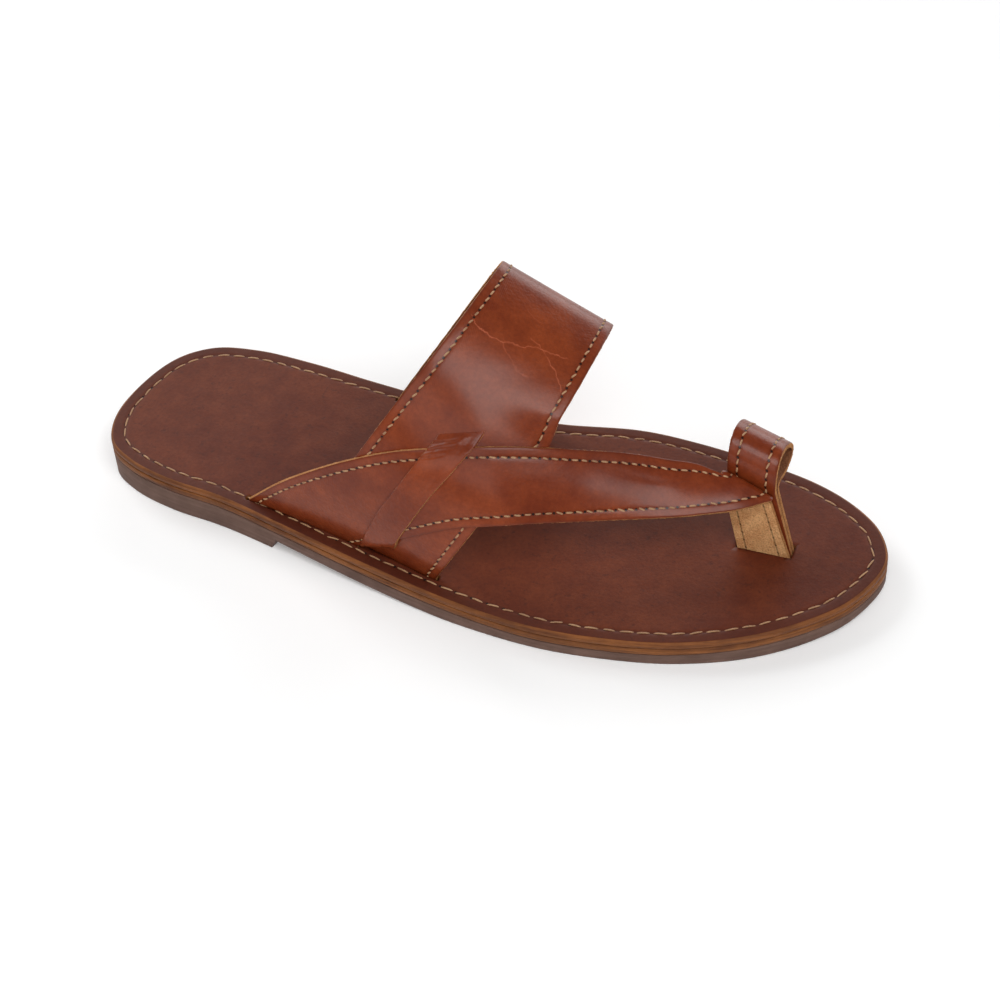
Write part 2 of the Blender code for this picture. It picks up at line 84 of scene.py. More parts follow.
def read_table(table, column, at):
    """A column of a table read at any place: cubic pieces whose slopes are harmonic means of their sides."""
    places = np.array([row[0] for row in table], float)
    values = np.array([row[column] for row in table], float)
    steps = np.diff(places)
    rates = np.diff(values) / steps
    slopes = np.zeros(len(places))
    slopes[0], slopes[-1] = rates[0], rates[-1]
    same = rates[:-1] * rates[1:] > 0
    before, after = np.where(same, rates[:-1], 1.0), np.where(same, rates[1:], 1.0)
    near, far = 2 * steps[1:] + steps[:-1], steps[1:] + 2 * steps[:-1]
    slopes[1:-1] = np.where(same, (near + far) / (near / before + far / after), 0.0)
    at = np.clip(np.asarray(at, float), places[0], places[-1])
    i = np.clip(np.searchsorted(places, at) - 1, 0, len(steps) - 1)
    s = (at - places[i]) / steps[i]
    return (
        (1 + 2 * s) * (1 - s) ** 2 * values[i]
        + s * (1 - s) ** 2 * steps[i] * slopes[i]
        + s * s * (3 - 2 * s) * values[i + 1]
        + s * s * (s - 1) * steps[i] * slopes[i + 1]
    )


def ease(start, end, at):
    """0 before start, 1 after end, and a smooth S between them."""
    s = np.clip((at - start) / (end - start), 0, 1)
    return s * s * (3 - 2 * s)


def bump(at, width):
    """A soft bump of height 1 at 0, which falls off over about the width."""
    return np.exp(-((at / width) ** 2))


def unit(vectors):
    return vectors / np.linalg.norm(vectors, axis=-1, keepdims=True)


def run_length(line):
    """Distance along a line of points, from its first point."""
    return np.concatenate([[0], np.cumsum(np.linalg.norm(np.diff(line, axis=0), axis=1))])


print("an ease at its middle:", ease(0, 2, 1.0))

# %% Sizes of the sole and its outline
SOLE_LENGTH, BALL_WIDTH = 0.280, 0.104
HEEL_HEIGHT, BALL_HEIGHT, TOE_SPRING = 0.0148, 0.0094, 0.0026
HEEL_BREAST, ARCH_END, ARCH_LIFT = 0.279, 0.529, 0.0044
INSOLE = MIDSOLE = 0.0025
WALL, GAP, JOIN = 0.0018, 0.0003, 0.0002

# along: share of the sole length; medial, lateral: shares of the ball width
OUTLINE = (
    (0.000, -0.039, -0.039),
    (0.020, 0.250, -0.197),
    (0.060, 0.363, -0.267),
    (0.120, 0.403, -0.310),
    (0.200, 0.402, -0.331),
    (0.300, 0.389, -0.382),
    (0.420, 0.391, -0.442),
    (0.540, 0.430, -0.488),
    (0.640, 0.496, -0.499),
    (0.720, 0.499, -0.474),
    (0.800, 0.474, -0.422),
    (0.880, 0.427, -0.323),
    (0.940, 0.350, -0.198),
    (0.980, 0.254, -0.066),
    (1.000, 0.122, 0.122),
)


def smooth_loop(points, steps, closed):
    """A curve through all the points whose pace follows the root of the distance between them."""
    points = np.asarray(points, float)
    if closed:
        ring = np.vstack([points[-1], points, points[:2]])
    else:
        ring = np.vstack([2 * points[0] - points[1], points, 2 * points[-1] - points[-2]])
    curve = []
    for a, b, c, d in zip(ring[:-3], ring[1:-2], ring[2:-1], ring[3:]):
        k0, k1, k2, k3 = np.cumsum([0] + [np.linalg.norm(q - p) ** 0.5 for p, q in ((a, b), (b, c), (c, d))])
        t = np.linspace(k1, k2, steps, endpoint=False)[:, None]
        ab = (k1 - t) / (k1 - k0) * a + (t - k0) / (k1 - k0) * b
        bc = (k2 - t) / (k2 - k1) * b + (t - k1) / (k2 - k1) * c
        cd = (k3 - t) / (k3 - k2) * c + (t - k2) / (k3 - k2) * d
        abc = (k2 - t) / (k2 - k0) * ab + (t - k0) / (k2 - k0) * bc
        bcd = (k3 - t) / (k3 - k1) * bc + (t - k1) / (k3 - k1) * cd
        curve.append((k2 - t) / (k2 - k1) * abc + (t - k1) / (k2 - k1) * bcd)
    return np.vstack(curve + ([] if closed else [points[-1:]]))


def spaced(curve, count):
    """The same curve with its points at equal distances."""
    length = run_length(curve)
    at = np.linspace(0, length[-1], count)
    return np.stack([np.interp(at, length, curve[:, k]) for k in range(curve.shape[1])], axis=1)


medial_points = [(along * SOLE_LENGTH, m * BALL_WIDTH) for along, m, _ in OUTLINE]
lateral_points = [(along * SOLE_LENGTH, l * BALL_WIDTH) for along, _, l in OUTLINE[1:-1]]
outline = smooth_loop(medial_points + lateral_points[::-1], 40, closed=True)
low, high = outline[:, 0].min(), outline[:, 0].max()
outline[:, 0] = (outline[:, 0] - low) * SOLE_LENGTH / (high - low)
print("outline of", len(outline), "points,", round(run_length(outline)[-1] * 1000), "mm round")

# %% Heights along the sole
# along: share of the sole length; drop: share of the heel's height over the ball;
# bed, tread: shares of the toe spring that the foot bed and the outsole's underside take
PROFILE = (
    (0.000, 1.00, 0.00, 0.00),
    (0.180, 1.00, 0.00, 0.00),
    (0.286, 0.82, 0.00, 0.00),
    (0.357, 0.63, 0.00, 0.00),
    (0.430, 0.43, 0.00, 0.00),
    (0.500, 0.24, 0.00, 0.00),
    (0.570, 0.09, 0.00, 0.00),
    (0.640, 0.00, 0.00, 0.00),
    (0.700, 0.00, 0.00, 0.00),
    (0.780, 0.00, 0.08, 0.00),
    (0.857, 0.00, 0.32, 0.02),
    (0.930, 0.00, 0.66, 0.22),
    (1.000, 0.00, 1.00, 1.00),
)


def bed_height(along):
    """Top of the foot bed above the floor."""
    share = np.asarray(along) / SOLE_LENGTH
    drop = read_table(PROFILE, 1, share) * (HEEL_HEIGHT - BALL_HEIGHT)
    return BALL_HEIGHT + drop + read_table(PROFILE, 2, share) * TOE_SPRING


def tread_height(along):
    """Underside of the rubber: flat under the heel, a step at the breast, an arch, flat, and the toe rise."""
    share = np.asarray(along) / SOLE_LENGTH
    arch = ARCH_LIFT * np.clip(1 - (share - HEEL_BREAST) / (ARCH_END - HEEL_BREAST), 0, 1) ** 1.3
    return np.where(share > HEEL_BREAST, arch, 0) + read_table(PROFILE, 3, share) * TOE_SPRING


print("heel", float(bed_height(0.02)), "ball", float(bed_height(0.19)), "toe", float(bed_height(0.28)))

# %% [markdown]
# ## The foot form
# A strap hangs on the foot it was made for, so the form under it is a foot: each section is two quarters
# of a rounded box about a ridge, full on the inner side and sloping on the outer side. A place on it has
# two numbers: how far along the sandal, and a turn from 0 at the outer edge over 0.5 on the ridge to 1.

# %% Sections of the form
INSTEP_HEIGHT, TOE_HEIGHT, SWELL = 0.0810, 0.0400, 0.0025
MEDIAL_FULLNESS = 3.2
TOES_BEGIN, TOES_FULL = 0.536, 0.764
# along, lateral, medial, ridge, height, fullness of the lateral side
INSTEP_FORM = (
    (0.179, -0.282, 0.357, 0.117, 1.186, 2.0),
    (0.321, -0.325, 0.372, 0.126, 1.165, 2.0),
    (0.429, -0.378, 0.386, 0.146, 1.098, 2.0),
    (0.500, -0.417, 0.396, 0.165, 1.000, 2.0),
    (0.589, -0.431, 0.396, 0.165, 0.866, 1.9),
    (0.661, -0.422, 0.396, 0.165, 0.756, 1.8),
)
TOE_FORM = (
    (0.571, -0.402, 0.405, 0.165, 1.250, 1.8),
    (0.679, -0.326, 0.405, 0.165, 1.000, 1.8),
    (0.750, -0.258, 0.405, 0.165, 0.875, 1.9),
    (0.818, -0.191, 0.405, 0.175, 0.738, 2.0),
    (0.875, -0.114, 0.405, 0.175, 0.550, 2.0),
)


def form_section(table, along, turn):
    """Across: half width times a power of the cosine; up: height times the same power of the sine."""
    share = along / SOLE_LENGTH
    lateral, medial, ridge = (read_table(table, k, share) * BALL_WIDTH for k in (1, 2, 3))
    height = read_table(table, 4, share) * (INSTEP_HEIGHT if table is INSTEP_FORM else TOE_HEIGHT)
    across, up_share = np.cos(turn * np.pi), np.clip(np.sin(turn * np.pi), 0, 1)
    side = np.sign(across)
    power = 2 / np.where(side > 0, read_table(table, 5, share), MEDIAL_FULLNESS)
    half = np.where(side > 0, ridge - lateral, medial - ridge)
    rise = up_share**power
    draw = np.where(side > 0, SWELL, 2 * SWELL) * np.clip(1 - rise / 0.35, 0, 1) ** 2
    y = ridge - side * (half * np.abs(across) ** power - draw)
    return np.stack(np.broadcast_arrays(along, y, bed_height(along) + height * rise), axis=-1)


def foot_form(along, turn, toes):
    """The instep, which passes into the toes where toes is true."""
    instep = form_section(INSTEP_FORM, along, turn)
    if not toes:
        return instep
    share = ease(TOES_BEGIN * SOLE_LENGTH, TOES_FULL * SOLE_LENGTH, along)[..., None]
    return instep * (1 - share) + form_section(TOE_FORM, along, turn) * share


def laid(along, turn, lift, toes=False):
    """Points on the form, lifted off it along its outward normal."""
    d_along, d_turn = 1e-4, 1e-3
    points = foot_form(along, turn, toes)
    forward = foot_form(along + d_along, turn, toes) - foot_form(along - d_along, turn, toes)
    around = foot_form(along, turn + d_turn, toes) - foot_form(along, turn - d_turn, toes)
    at_base = (turn <= 0) | (turn >= 1)
    normal = np.cross(around, forward)
    normal[..., 0] = np.where(at_base, 0, normal[..., 0])
    normal[..., 2] = np.where(at_base, 0, normal[..., 2])
    normal = unit(normal)
    middle = np.stack(np.broadcast_arrays(along, 0.010, bed_height(along)), axis=-1)
    outward = np.sign((normal * (points - middle)).sum(-1, keepdims=True))
    return points + normal * outward * np.asarray(lift)[..., None]


print("top of the instep at its middle", np.round(foot_form(np.array(0.14), np.array(0.5), False), 4))

# %% [markdown]
# ## Meshes from grids
# A strap is a closed slab: a grain face, a flesh face and two cut edges. Its section runs round these
# four, and the rows carry the section along the strap. Each vertex also keeps two numbers in a UV map
# called seam: how far it is along the nearer stitch line, and how far it is from the nearer cut edge.
# The finishes use them to put needle holes and worn edges where the thread is.

# %% Putting points and faces into a mesh
GRAIN, CUT, FLESH = range(3)


def heel_to_middle(points):
    """Moves points from the heel's back to the frame's middle."""
    return points - np.array([SOLE_LENGTH / 2, 0, 0])


def quads(rows, columns, wrap=False):
    """Corners of the four-sided faces of a grid, whose last column may join its first."""
    index = np.arange(rows * columns).reshape(rows, columns)
    if wrap:
        index = np.concatenate([index, index[:, :1]], axis=1)
    return np.stack([index[:-1, :-1], index[:-1, 1:], index[1:, 1:], index[1:, :-1]], axis=-1).reshape(-1, 4)


def make_piece(name, points, faces, finishes, kinds=None, maps=None, values=None, smooth=True):
    """A mesh object at the origin, with a finish number for each face, UV maps and one-number attributes."""
    mesh = bpy.data.meshes.new(name)
    mesh.from_pydata(heel_to_middle(np.asarray(points, float)), [], [list(map(int, face)) for face in faces])
    corners = np.zeros(len(mesh.loops), np.int32)
    mesh.loops.foreach_get("vertex_index", corners)
    for key, pairs in (maps or {}).items():
        layer = mesh.uv_layers.new(name=key)
        layer.data.foreach_set("uv", np.asarray(pairs, np.float32)[corners].ravel())
    for key, numbers in (values or {}).items():
        layer = mesh.attributes.new(key, "FLOAT", "POINT")
        layer.data.foreach_set("value", np.asarray(numbers, np.float32).ravel())
    for finish in finishes:
        mesh.materials.append(finish)
    if kinds is not None:
        mesh.polygons.foreach_set("material_index", np.asarray(kinds, np.int32))
    mesh.polygons.foreach_set("use_smooth", np.full(len(mesh.polygons), smooth))
    mesh.update()
    piece = bpy.data.objects.new(name, mesh)
    bpy.context.scene.collection.objects.link(piece)
    return piece


print("a 3 by 4 grid has", len(quads(3, 4)), "faces")

# %% A strap's columns, stitch lines and slab
# Distances of the columns from a cut edge: close together at the rounded edge and at the stitch line
EDGE_COLUMNS = np.array([0, 0.25, 0.6, 1.1, 1.8, 2.5, 2.9, 3.3, 3.7, 4.1, 5.0]) * MM
MIDDLE_COLUMNS = 12
STITCH_INSET = 3.3 * MM
CUT_STEPS = 4
rng = np.random.default_rng(7)


def column_shares(width):
    """For each row's width, the columns' shares of it: fixed distances at both edges, even between them."""
    width = np.asarray(width)[:, None]
    near = EDGE_COLUMNS[None, :] / width
    middle = np.linspace(0, 1, MIDDLE_COLUMNS + 2)[None, 1:-1]
    between = near[:, -1:] + (1 - 2 * near[:, -1:]) * middle
    return np.concatenate([near, between, 1 - near[:, ::-1]], axis=1)


def edge_depth(shares, width):
    """Distance from the nearer cut edge."""
    return np.minimum(shares, 1 - shares) * np.asarray(width)[:, None]


def face_relief(depth):
    """The grain face is rounded off at the cut edge and pulled in a little by the thread."""
    rounding = 0.16 * MM * np.clip(1 - depth / (0.6 * MM), 0, 1) ** 2
    return -rounding - 0.10 * MM * bump(depth - STITCH_INSET, 0.5 * MM)


def stitch_lines(outer, shares, width):
    """The lines at the stitch inset from each edge: for each row a point on the grain face."""
    lines = []
    for share in (STITCH_INSET / np.asarray(width), 1 - STITCH_INSET / np.asarray(width)):
        k = np.clip((shares < share[:, None]).sum(1) - 1, 0, shares.shape[1] - 2)
        rows = np.arange(len(k))
        part = ((share - shares[rows, k]) / (shares[rows, k + 1] - shares[rows, k]))[:, None]
        lines.append(outer[rows, k] * (1 - part) + outer[rows, k + 1] * part)
    return lines


def strap_slab(name, inner, outer, shares, width, finishes, values=None, spots=None):
    """Joins the two faces of a strap by its cut edges, which bulge a little, and closes both ends."""
    rows, columns = outer.shape[:2]
    depth = edge_depth(shares, width)
    lines = stitch_lines(outer, shares, width)
    runs = np.stack([run_length(line) for line in lines], axis=1)
    left = np.arange(columns) < columns // 2
    run = np.where(left[None, :], runs[:, :1], runs[:, 1:])
    steps = np.linspace(0, 1, CUT_STEPS + 1)[1:-1]
    cuts = []
    for edge, inside in ((columns - 1, columns - 2), (0, 1)):
        away = unit(outer[:, edge] - outer[:, inside])
        a, b = (outer, inner) if edge else (inner, outer)
        bulge = (0.12 + rng.normal(0, 0.07, (len(steps), rows, 1))) * MM
        lines_between = [a[:, edge] * (1 - s) + b[:, edge] * s + away * out for s, out in zip(steps, bulge)]
        cuts.append(np.stack(lines_between, axis=1))
    section = np.concatenate([outer, cuts[0], inner[:, ::-1], cuts[1]], axis=1)
    size = section.shape[1]
    around = len(steps)

    def round_section(grid, right_value, left_value):
        sides = [np.repeat(value[:, None], around, axis=1) for value in (right_value, left_value)]
        return np.concatenate([grid, sides[0], grid[:, ::-1], sides[1]], axis=1)

    zero = np.zeros(rows)
    seam = np.stack([round_section(run, runs[:, 1], runs[:, 0]), round_section(depth, zero, zero)], axis=-1)
    kinds = [GRAIN] * (columns - 1) + [CUT] * CUT_STEPS + [FLESH] * (columns - 1) + [CUT] * CUT_STEPS
    faces = list(quads(rows, size, wrap=True))
    faces += [list(range(size))[::-1], list(range((rows - 1) * size, rows * size))]
    kinds = kinds * (rows - 1) + [CUT, CUT]
    extra = {}
    for key, grid in (values or {}).items():
        extra[key] = round_section(grid, grid[:, -1], grid[:, 0])
    maps = {"seam": seam.reshape(-1, 2)}
    if spots is not None:
        maps["spot"] = np.stack([round_section(g, g[:, -1], g[:, 0]) for g in spots], axis=-1).reshape(-1, 2)
    piece = make_piece(name, section.reshape(-1, 3), faces, finishes, kinds, maps, extra)
    print(name, rows, "rows of", size, "points")
    return piece, lines


# %% [markdown]
# ## Shader maths as Python
# One small class wraps a socket, so that a finish reads as an expression: adding, multiplying or comparing
# values adds the Math nodes. Any other node comes from one method.


# %% The socket class and the finish class
class Value:
    """A number that varies over a surface."""

    def __init__(self, finish, socket):
        self.finish, self.socket = finish, socket

    def maths(self, operation, *others):
        values = dict(enumerate((self, *others)))
        return self.finish.node("ShaderNodeMath", {"operation": operation}, values)

    def __add__(self, other):
        return self.maths("ADD", other)

    def __sub__(self, other):
        return self.maths("SUBTRACT", other)

    def __mul__(self, other):
        return self.maths("MULTIPLY", other)

    def __truediv__(self, other):
        return self.maths("DIVIDE", other)

    def __rsub__(self, other):
        return (self * -1.0) + other

    __radd__ = __add__
    __rmul__ = __mul__

    def power(self, other):
        return self.maths("POWER", other)

    def absolute(self):
        return self.maths("ABSOLUTE")

    def sine(self):
        return self.maths("SINE")

    def between(self, low, high):
        """0 at low, 1 at high, and a smooth S between them."""
        settings = {"interpolation_type": "SMOOTHSTEP", "clamp": True}
        inputs = {"Value": self, "From Min": low, "From Max": high}
        return self.finish.node("ShaderNodeMapRange", settings, inputs)

    def at(self, place, width):
        """1 at a place, and 0 from a width away on either side."""
        return 1 - (self - place).absolute().between(0.0, width)


class Finish:
    """A material with one Principled BSDF."""

    def __init__(self, name, roughness=0.5, **constants):
        self.material = bpy.data.materials.new(name)
        self.material.use_nodes = True
        self.tree = self.material.node_tree
        self.shader = self.tree.nodes["Principled BSDF"]
        self.shader.inputs["Roughness"].default_value = roughness
        for key, number in constants.items():
            self.shader.inputs[key.replace("_", " ")].default_value = number

    def put(self, socket, value):
        """Links a value or sets a constant."""
        if isinstance(value, Value):
            self.tree.links.new(value.socket, socket)
        elif isinstance(value, bpy.types.NodeSocket):
            self.tree.links.new(value, socket)
        else:
            socket.default_value = value

    def node(self, kind, settings=None, inputs=None, output=0):
        """Any node: its settings first, then its sockets, and one of its outputs."""
        new = self.tree.nodes.new(kind)
        for key, setting in (settings or {}).items():
            setattr(new, key, setting)
        for key, value in (inputs or {}).items():
            self.put(new.inputs[key], value)
        return Value(self, new.outputs[output])

    def place(self, stretch=(1, 1, 1), turn=(0, 0, 0)):
        """Object coordinates in metres, which may be stretched or turned."""
        coordinates = self.node("ShaderNodeTexCoord", output="Object")
        inputs = {"Vector": coordinates, "Scale": stretch, "Rotation": turn}
        return self.node("ShaderNodeMapping", None, inputs)

    def noise(self, where, size, detail=3.0, roughness=0.5):
        """Cloudy values about 0.5, whose blotches are about the size across, in metres."""
        inputs = {"Vector": where, "Scale": 1 / size, "Detail": detail, "Roughness": roughness}
        return self.node("ShaderNodeTexNoise", None, inputs)

    def cells(self, where, size, feature="F1"):
        """Distance from the middle of cells of about the size, sharp or smooth at their borders."""
        return self.node("ShaderNodeTexVoronoi", {"feature": feature}, {"Vector": where, "Scale": 1 / size})

    def map(self, name):
        """The two numbers of a UV map."""
        source = self.node("ShaderNodeUVMap", {"uv_map": name})
        parts = self.node("ShaderNodeSeparateXYZ", None, {0: source})
        return parts, Value(self, parts.socket.node.outputs[1])

    def seam(self):
        """Run along the nearer stitch line, and depth from the nearer cut edge."""
        return self.map("seam")

    def curve(self, value, points):
        """A smooth curve through points whose places and heights run from 0 to 1."""
        result = self.node("ShaderNodeFloatCurve", None, {"Value": value})
        line = result.socket.node.mapping.curves[0].points
        line[0].location, line[1].location = points[0], points[-1]
        for point in points[1:-1]:
            line.new(*point)
        result.socket.node.mapping.update()
        return result

    def attribute(self, name):
        return self.node("ShaderNodeAttribute", {"attribute_name": name}, output="Fac")

    def mix(self, share, first, second):
        """A colour between two colours."""
        settings = {"data_type": "RGBA", "clamp_factor": True}
        colours = [(*c, 1.0) if isinstance(c, tuple) else c for c in (first, second)]
        return self.node("ShaderNodeMix", settings, {0: share, 6: colours[0], 7: colours[1]}, output=2)

    def colour(self, value):
        self.put(self.shader.inputs["Base Color"], value if isinstance(value, Value) else (*value, 1.0))

    def relief(self, height):
        """Height in metres above the surface."""
        bumped = self.node("ShaderNodeBump", None, {"Height": height, "Strength": 1.0, "Distance": 1.0})
        self.put(self.shader.inputs["Normal"], bumped)


def holes(run, depth, inset, pitch, radius):
    """1 in the needle holes, which lie one pitch apart on the stitch line."""
    step = (run / pitch).maths("FRACT")
    along = (step - 0.5).absolute() * -1.0 + 0.5
    apart = ((along * pitch).power(2.0) + (depth - inset).power(2.0)).power(0.5)
    return 1 - apart.between(radius * 0.55, radius)


print("shader helpers ready")

# %% [markdown]
# ## Strap leather
# The straps are smooth, oiled brown leather: reddish and glossy, a little darker in soft clouds, with a
# fine grain of tiny cells, tight pores and rounded, darkened rims. Needle holes sit on the stitch line,
# and the thread pulls short ribs into the leather beside it.

# %% Strap leather finish
STRAP_PITCH = 3.4 * MM


def strap_leather(name, deep, warm, pebble=0.0, ribs=1.0, stitched=True, veins=()):
    finish = Finish(name, Coat_Weight=0.36, Coat_Roughness=0.23, Coat_IOR=1.5, Specular_IOR_Level=0.08)
    where = finish.place()
    run, depth = finish.seam()
    clouds = finish.noise(where, 0.035, 4.0, 0.55).between(0.32, 0.68)
    mottle = finish.noise(where, 0.006, 4.0, 0.6).between(0.3, 0.75)
    streaks = finish.noise(finish.place((14, 60, 60), (0, 0.5, 0.2)), 1.0, 3.0, 0.5).between(0.35, 0.75)
    colour = finish.mix(clouds * 0.6 + mottle * 0.4, deep, warm)
    colour = finish.mix(streaks * 0.18, colour, tuple(0.45 * c for c in deep))
    rim = (1 - depth.between(0.1 * MM, 1.2 * MM)) * (1.0 if stitched else 0.0)
    colour = finish.mix(rim * 0.35, colour, tuple(0.5 * c for c in deep))
    pores = 1 - finish.cells(where, 0.0011, "F1").between(0.0, 0.35)
    colour = finish.mix(pores * 0.10, colour, tuple(0.3 * c for c in deep))
    for points, strength in veins:
        across, turn = finish.map("spot")
        curve = finish.curve(across / 60.0, [(x / 60, (y - 20) / 40) for x, y in points]) * 40.0 + 20.0
        wander = finish.noise(where, 0.004, 4.0, 0.6) * 2.0 - 1.0
        first, last = points[0][0], points[-1][0]
        inside = across.between(first - 0.5, first + 0.5) * (1 - across.between(last - 1.5, last + 0.5))
        vein = (turn - curve + wander).absolute()
        faint = finish.noise(where, 0.005, 2.0, 0.5).between(0.25, 0.6) * 0.7 + 0.3
        line = (1 - vein.between(0.0, 0.20)) * inside * faint
        colour = finish.mix(line * strength, colour, tuple(min(1.0, 1.7 * c + 0.035) for c in warm))
    flecks = finish.noise(where, 0.0013, 4.0, 0.65).between(0.36, 0.66)
    colour = finish.mix(flecks * 0.20, colour, tuple(0.42 * c for c in deep))
    # Painted light from a per-point attribute: values above 0 paint a highlight (lighter), values below 0
    # paint shade (darker)
    painted_light = finish.attribute("painted_light")
    colour = finish.mix(painted_light.between(0.0, 1.0), colour, tuple(min(1.0, 1.9 * c + 0.03) for c in warm))
    colour = finish.mix((painted_light * -1.0).between(0.0, 1.0), colour, tuple(0.35 * c for c in deep))
    grain = finish.cells(where, 0.0010, "SMOOTH_F1") * (0.12 * MM)
    fine = finish.noise(where, 0.0005, 2.0, 0.6) * (0.06 * MM)
    wave = finish.noise(where, 0.012, 3.0, 0.5) * (0.16 * MM)
    height = grain + fine + wave
    if pebble:
        height = height + finish.noise(where, 0.0022, 3.0, 0.6) * (pebble * MM)
    if stitched:
        hole = holes(run, depth, STITCH_INSET, STRAP_PITCH, 0.52 * MM)
        near = depth.at(STITCH_INSET, 2.0 * MM)
        slant = (run + depth * 0.8) * (2 * np.pi / STRAP_PITCH)
        height = height + slant.sine() * near * (0.045 * MM * ribs) - hole * (0.35 * MM)
        height = height - depth.at(STITCH_INSET, 0.7 * MM) * (0.05 * MM)
        wide = depth.between(3.6 * MM, 4.4 * MM) * (1 - depth.between(5.5 * MM, 10 * MM))
        height = height + ((run + depth) * (2 * np.pi / (0.95 * MM))).sine() * wide * (0.016 * MM * ribs)
        # Painted shade: darker along the groove the thread pulls, and nearly black in the needle holes
        colour = finish.mix(near.power(2.0) * 0.22, colour, tuple(0.5 * c for c in deep))
        colour = finish.mix(hole * 0.92, colour, (0.012, 0.006, 0.004))
    finish.colour(colour)
    rough = 0.38 + finish.noise(where, 0.004, 3.0, 0.6) * 0.10 + rim * 0.12 + clouds * -0.05
    finish.put(finish.shader.inputs["Roughness"], rough)
    finish.relief(height)
    return finish.material


DEEP, WARM = (0.155, 0.0230, 0.0060), (0.285, 0.054, 0.0140)
leather = strap_leather("strap_leather", DEEP, WARM)
bridge_leather = strap_leather("bridge_leather", DEEP, WARM, 0.32, 0, False)
# Each vein: mm across from the rear edge and turn in hundredths; then how pale it is
VEINS = (
    (((2, 41.5), (7.6, 40.2), (12.9, 40.2), (20.7, 41.0), (25.8, 42.1), (31, 42.7), (36, 43.4)), 0.75),
    (((22, 43.4), (27, 42.4), (31.1, 41.3), (36.7, 39.4), (41, 37)), 0.65),
    (((15, 40.6), (19, 38.8), (24, 37.4), (29, 37.0)), 0.35),
    (((14, 49), (18, 47.5), (23, 47.0)), 0.25),
)
band_leather = strap_leather("band_leather", DEEP, WARM, veins=VEINS)
print("strap finishes", leather.name, band_leather.name, bridge_leather.name)

# %% [markdown]
# ## Cut edges and flesh side
# Where leather is cut, its undyed inside shows: pale tan, fibrous and a little frayed. The flesh side is
# suede: short nap in soft patches. Both are matt, so only colour and relief make them.

# %% Cut edge and suede finishes


def fibrous(name, dark, pale, size, nap, roughness, stitched=False):
    finish = Finish(name, roughness, Specular_IOR_Level=0.15)
    where = finish.place()
    patches = finish.noise(where, size, 4.0, 0.6).between(0.3, 0.7)
    fibres = finish.noise(where, size * 0.12, 3.0, 0.65).between(0.3, 0.72)
    colour = finish.mix(patches * 0.4 + fibres * 0.6, dark, pale)
    specks = finish.noise(where, size * 0.10, 2.0, 0.5).between(0.55, 0.68)
    colour = finish.mix(specks * 0.5, colour, tuple(0.5 * c for c in dark))
    if stitched:
        run, depth = finish.seam()
        # Painted shade: darker in the stitch groove and in the needle holes
        groove = depth.at(STITCH_INSET, 0.55 * MM) * 0.55
        dots = holes(run, depth, STITCH_INSET, STRAP_PITCH, 0.5 * MM) * 0.4
        colour = finish.mix(groove + dots, colour, (0.035, 0.012, 0.005))
    finish.colour(colour)
    finish.relief(fibres * (nap * MM) + finish.noise(where, size * 0.05, 2.0, 0.6) * (nap * MM))
    return finish.material


cut_edge = fibrous("cut_edge", (0.32, 0.115, 0.036), (0.68, 0.33, 0.125), 0.004, 0.18, 0.85)
suede = fibrous("suede", (0.56, 0.23, 0.082), (0.97, 0.58, 0.27), 0.005, 0.25, 0.95, stitched=True)
# Painted shade: a darkened copy of the suede, for the flesh sides of the band, bridge and loop and for the
# walls that the window cuts in the band
suede_in_painted_shade = fibrous("suede_in_painted_shade", (0.13, 0.045, 0.02), (0.25, 0.10, 0.045), 0.006, 0.12, 0.92)
print("flesh finishes", suede.name, suede_in_painted_shade.name)

# %% [markdown]
# ## Band
# The wide band runs over the instep from one side of the sole to the other. Its rear and front edges each
# lie in a leaning plane, because the band was cut straight and then bent over the foot. Rows follow the
# turn, and columns go from the rear edge to the front edge.

# %% Band edges
BAND_REAR, BAND_FRONT_LOW = (0.298, 0.054, 0.594), (0.500, 0.120, 0.558)
BAND_FRONT_HIGH, BAND_FRONT_BLEND = (0.5243, -0.008, 0.425), 0.0015


def leaning_plane(plane, y, z):
    """Start at the floor plus a lean for each metre across and up."""
    start, sweep, lean = plane
    return start * SOLE_LENGTH + sweep * y + lean * z


def rear_plane(y, z):
    return leaning_plane(BAND_REAR, y, z)


def front_plane(y, z):
    """The lower plane, then the upper one, with a soft passage between them."""
    low_part, high_part = leaning_plane(BAND_FRONT_LOW, y, z), leaning_plane(BAND_FRONT_HIGH, y, z)
    return (low_part + high_part - np.sqrt((low_part - high_part) ** 2 + BAND_FRONT_BLEND**2)) / 2


def band_edge(turns, plane_of):
    """Where the form meets the plane at each turn, found by stepping half way there again and again."""
    along = np.full(len(turns), SOLE_LENGTH / 2)
    for _ in range(80):
        points = laid(along, turns, np.full(len(turns), WALL))
        along = (along + plane_of(points[:, 1], points[:, 2])) / 2
    return along


BAND_ROWS = 190
band_turns = 0.35 * (1 - np.cos(np.linspace(0, np.pi, BAND_ROWS))) / 2 + 0.65 * np.linspace(0, 1, BAND_ROWS)
band_rear, band_front = (band_edge(band_turns, plane) for plane in (rear_plane, front_plane))
band_corners = [laid(edge, band_turns, np.full(BAND_ROWS, WALL)) for edge in (band_rear, band_front)]
band_width = np.linalg.norm(band_corners[1] - band_corners[0], axis=1)
print("band is", np.round(band_width.min() * 1000, 1), "to", np.round(band_width.max() * 1000, 1), "mm wide")

# %% [markdown]
# Soft creases and pale veins make the band look worn in. A crease is a line between two places on the
# band with a depth and a width, and its trough has a soft shoulder on both sides.

# %% Creases and veins


def softened(grid, passes, end_rows):
    """Each row becomes a mean of itself and its neighbours, again and again, but less at both ends."""
    share = ease(0, end_rows, np.minimum(np.arange(len(grid)), np.arange(len(grid))[::-1]))[:, None, None]
    for _ in range(passes * 4):
        means = grid.copy()
        means[2:-2] = (grid[:-4] + 2 * grid[1:-3] + 2 * grid[2:-2] + 2 * grid[3:-1] + grid[4:]) / 8
        grid = grid * (1 - share) + means * share
    return grid


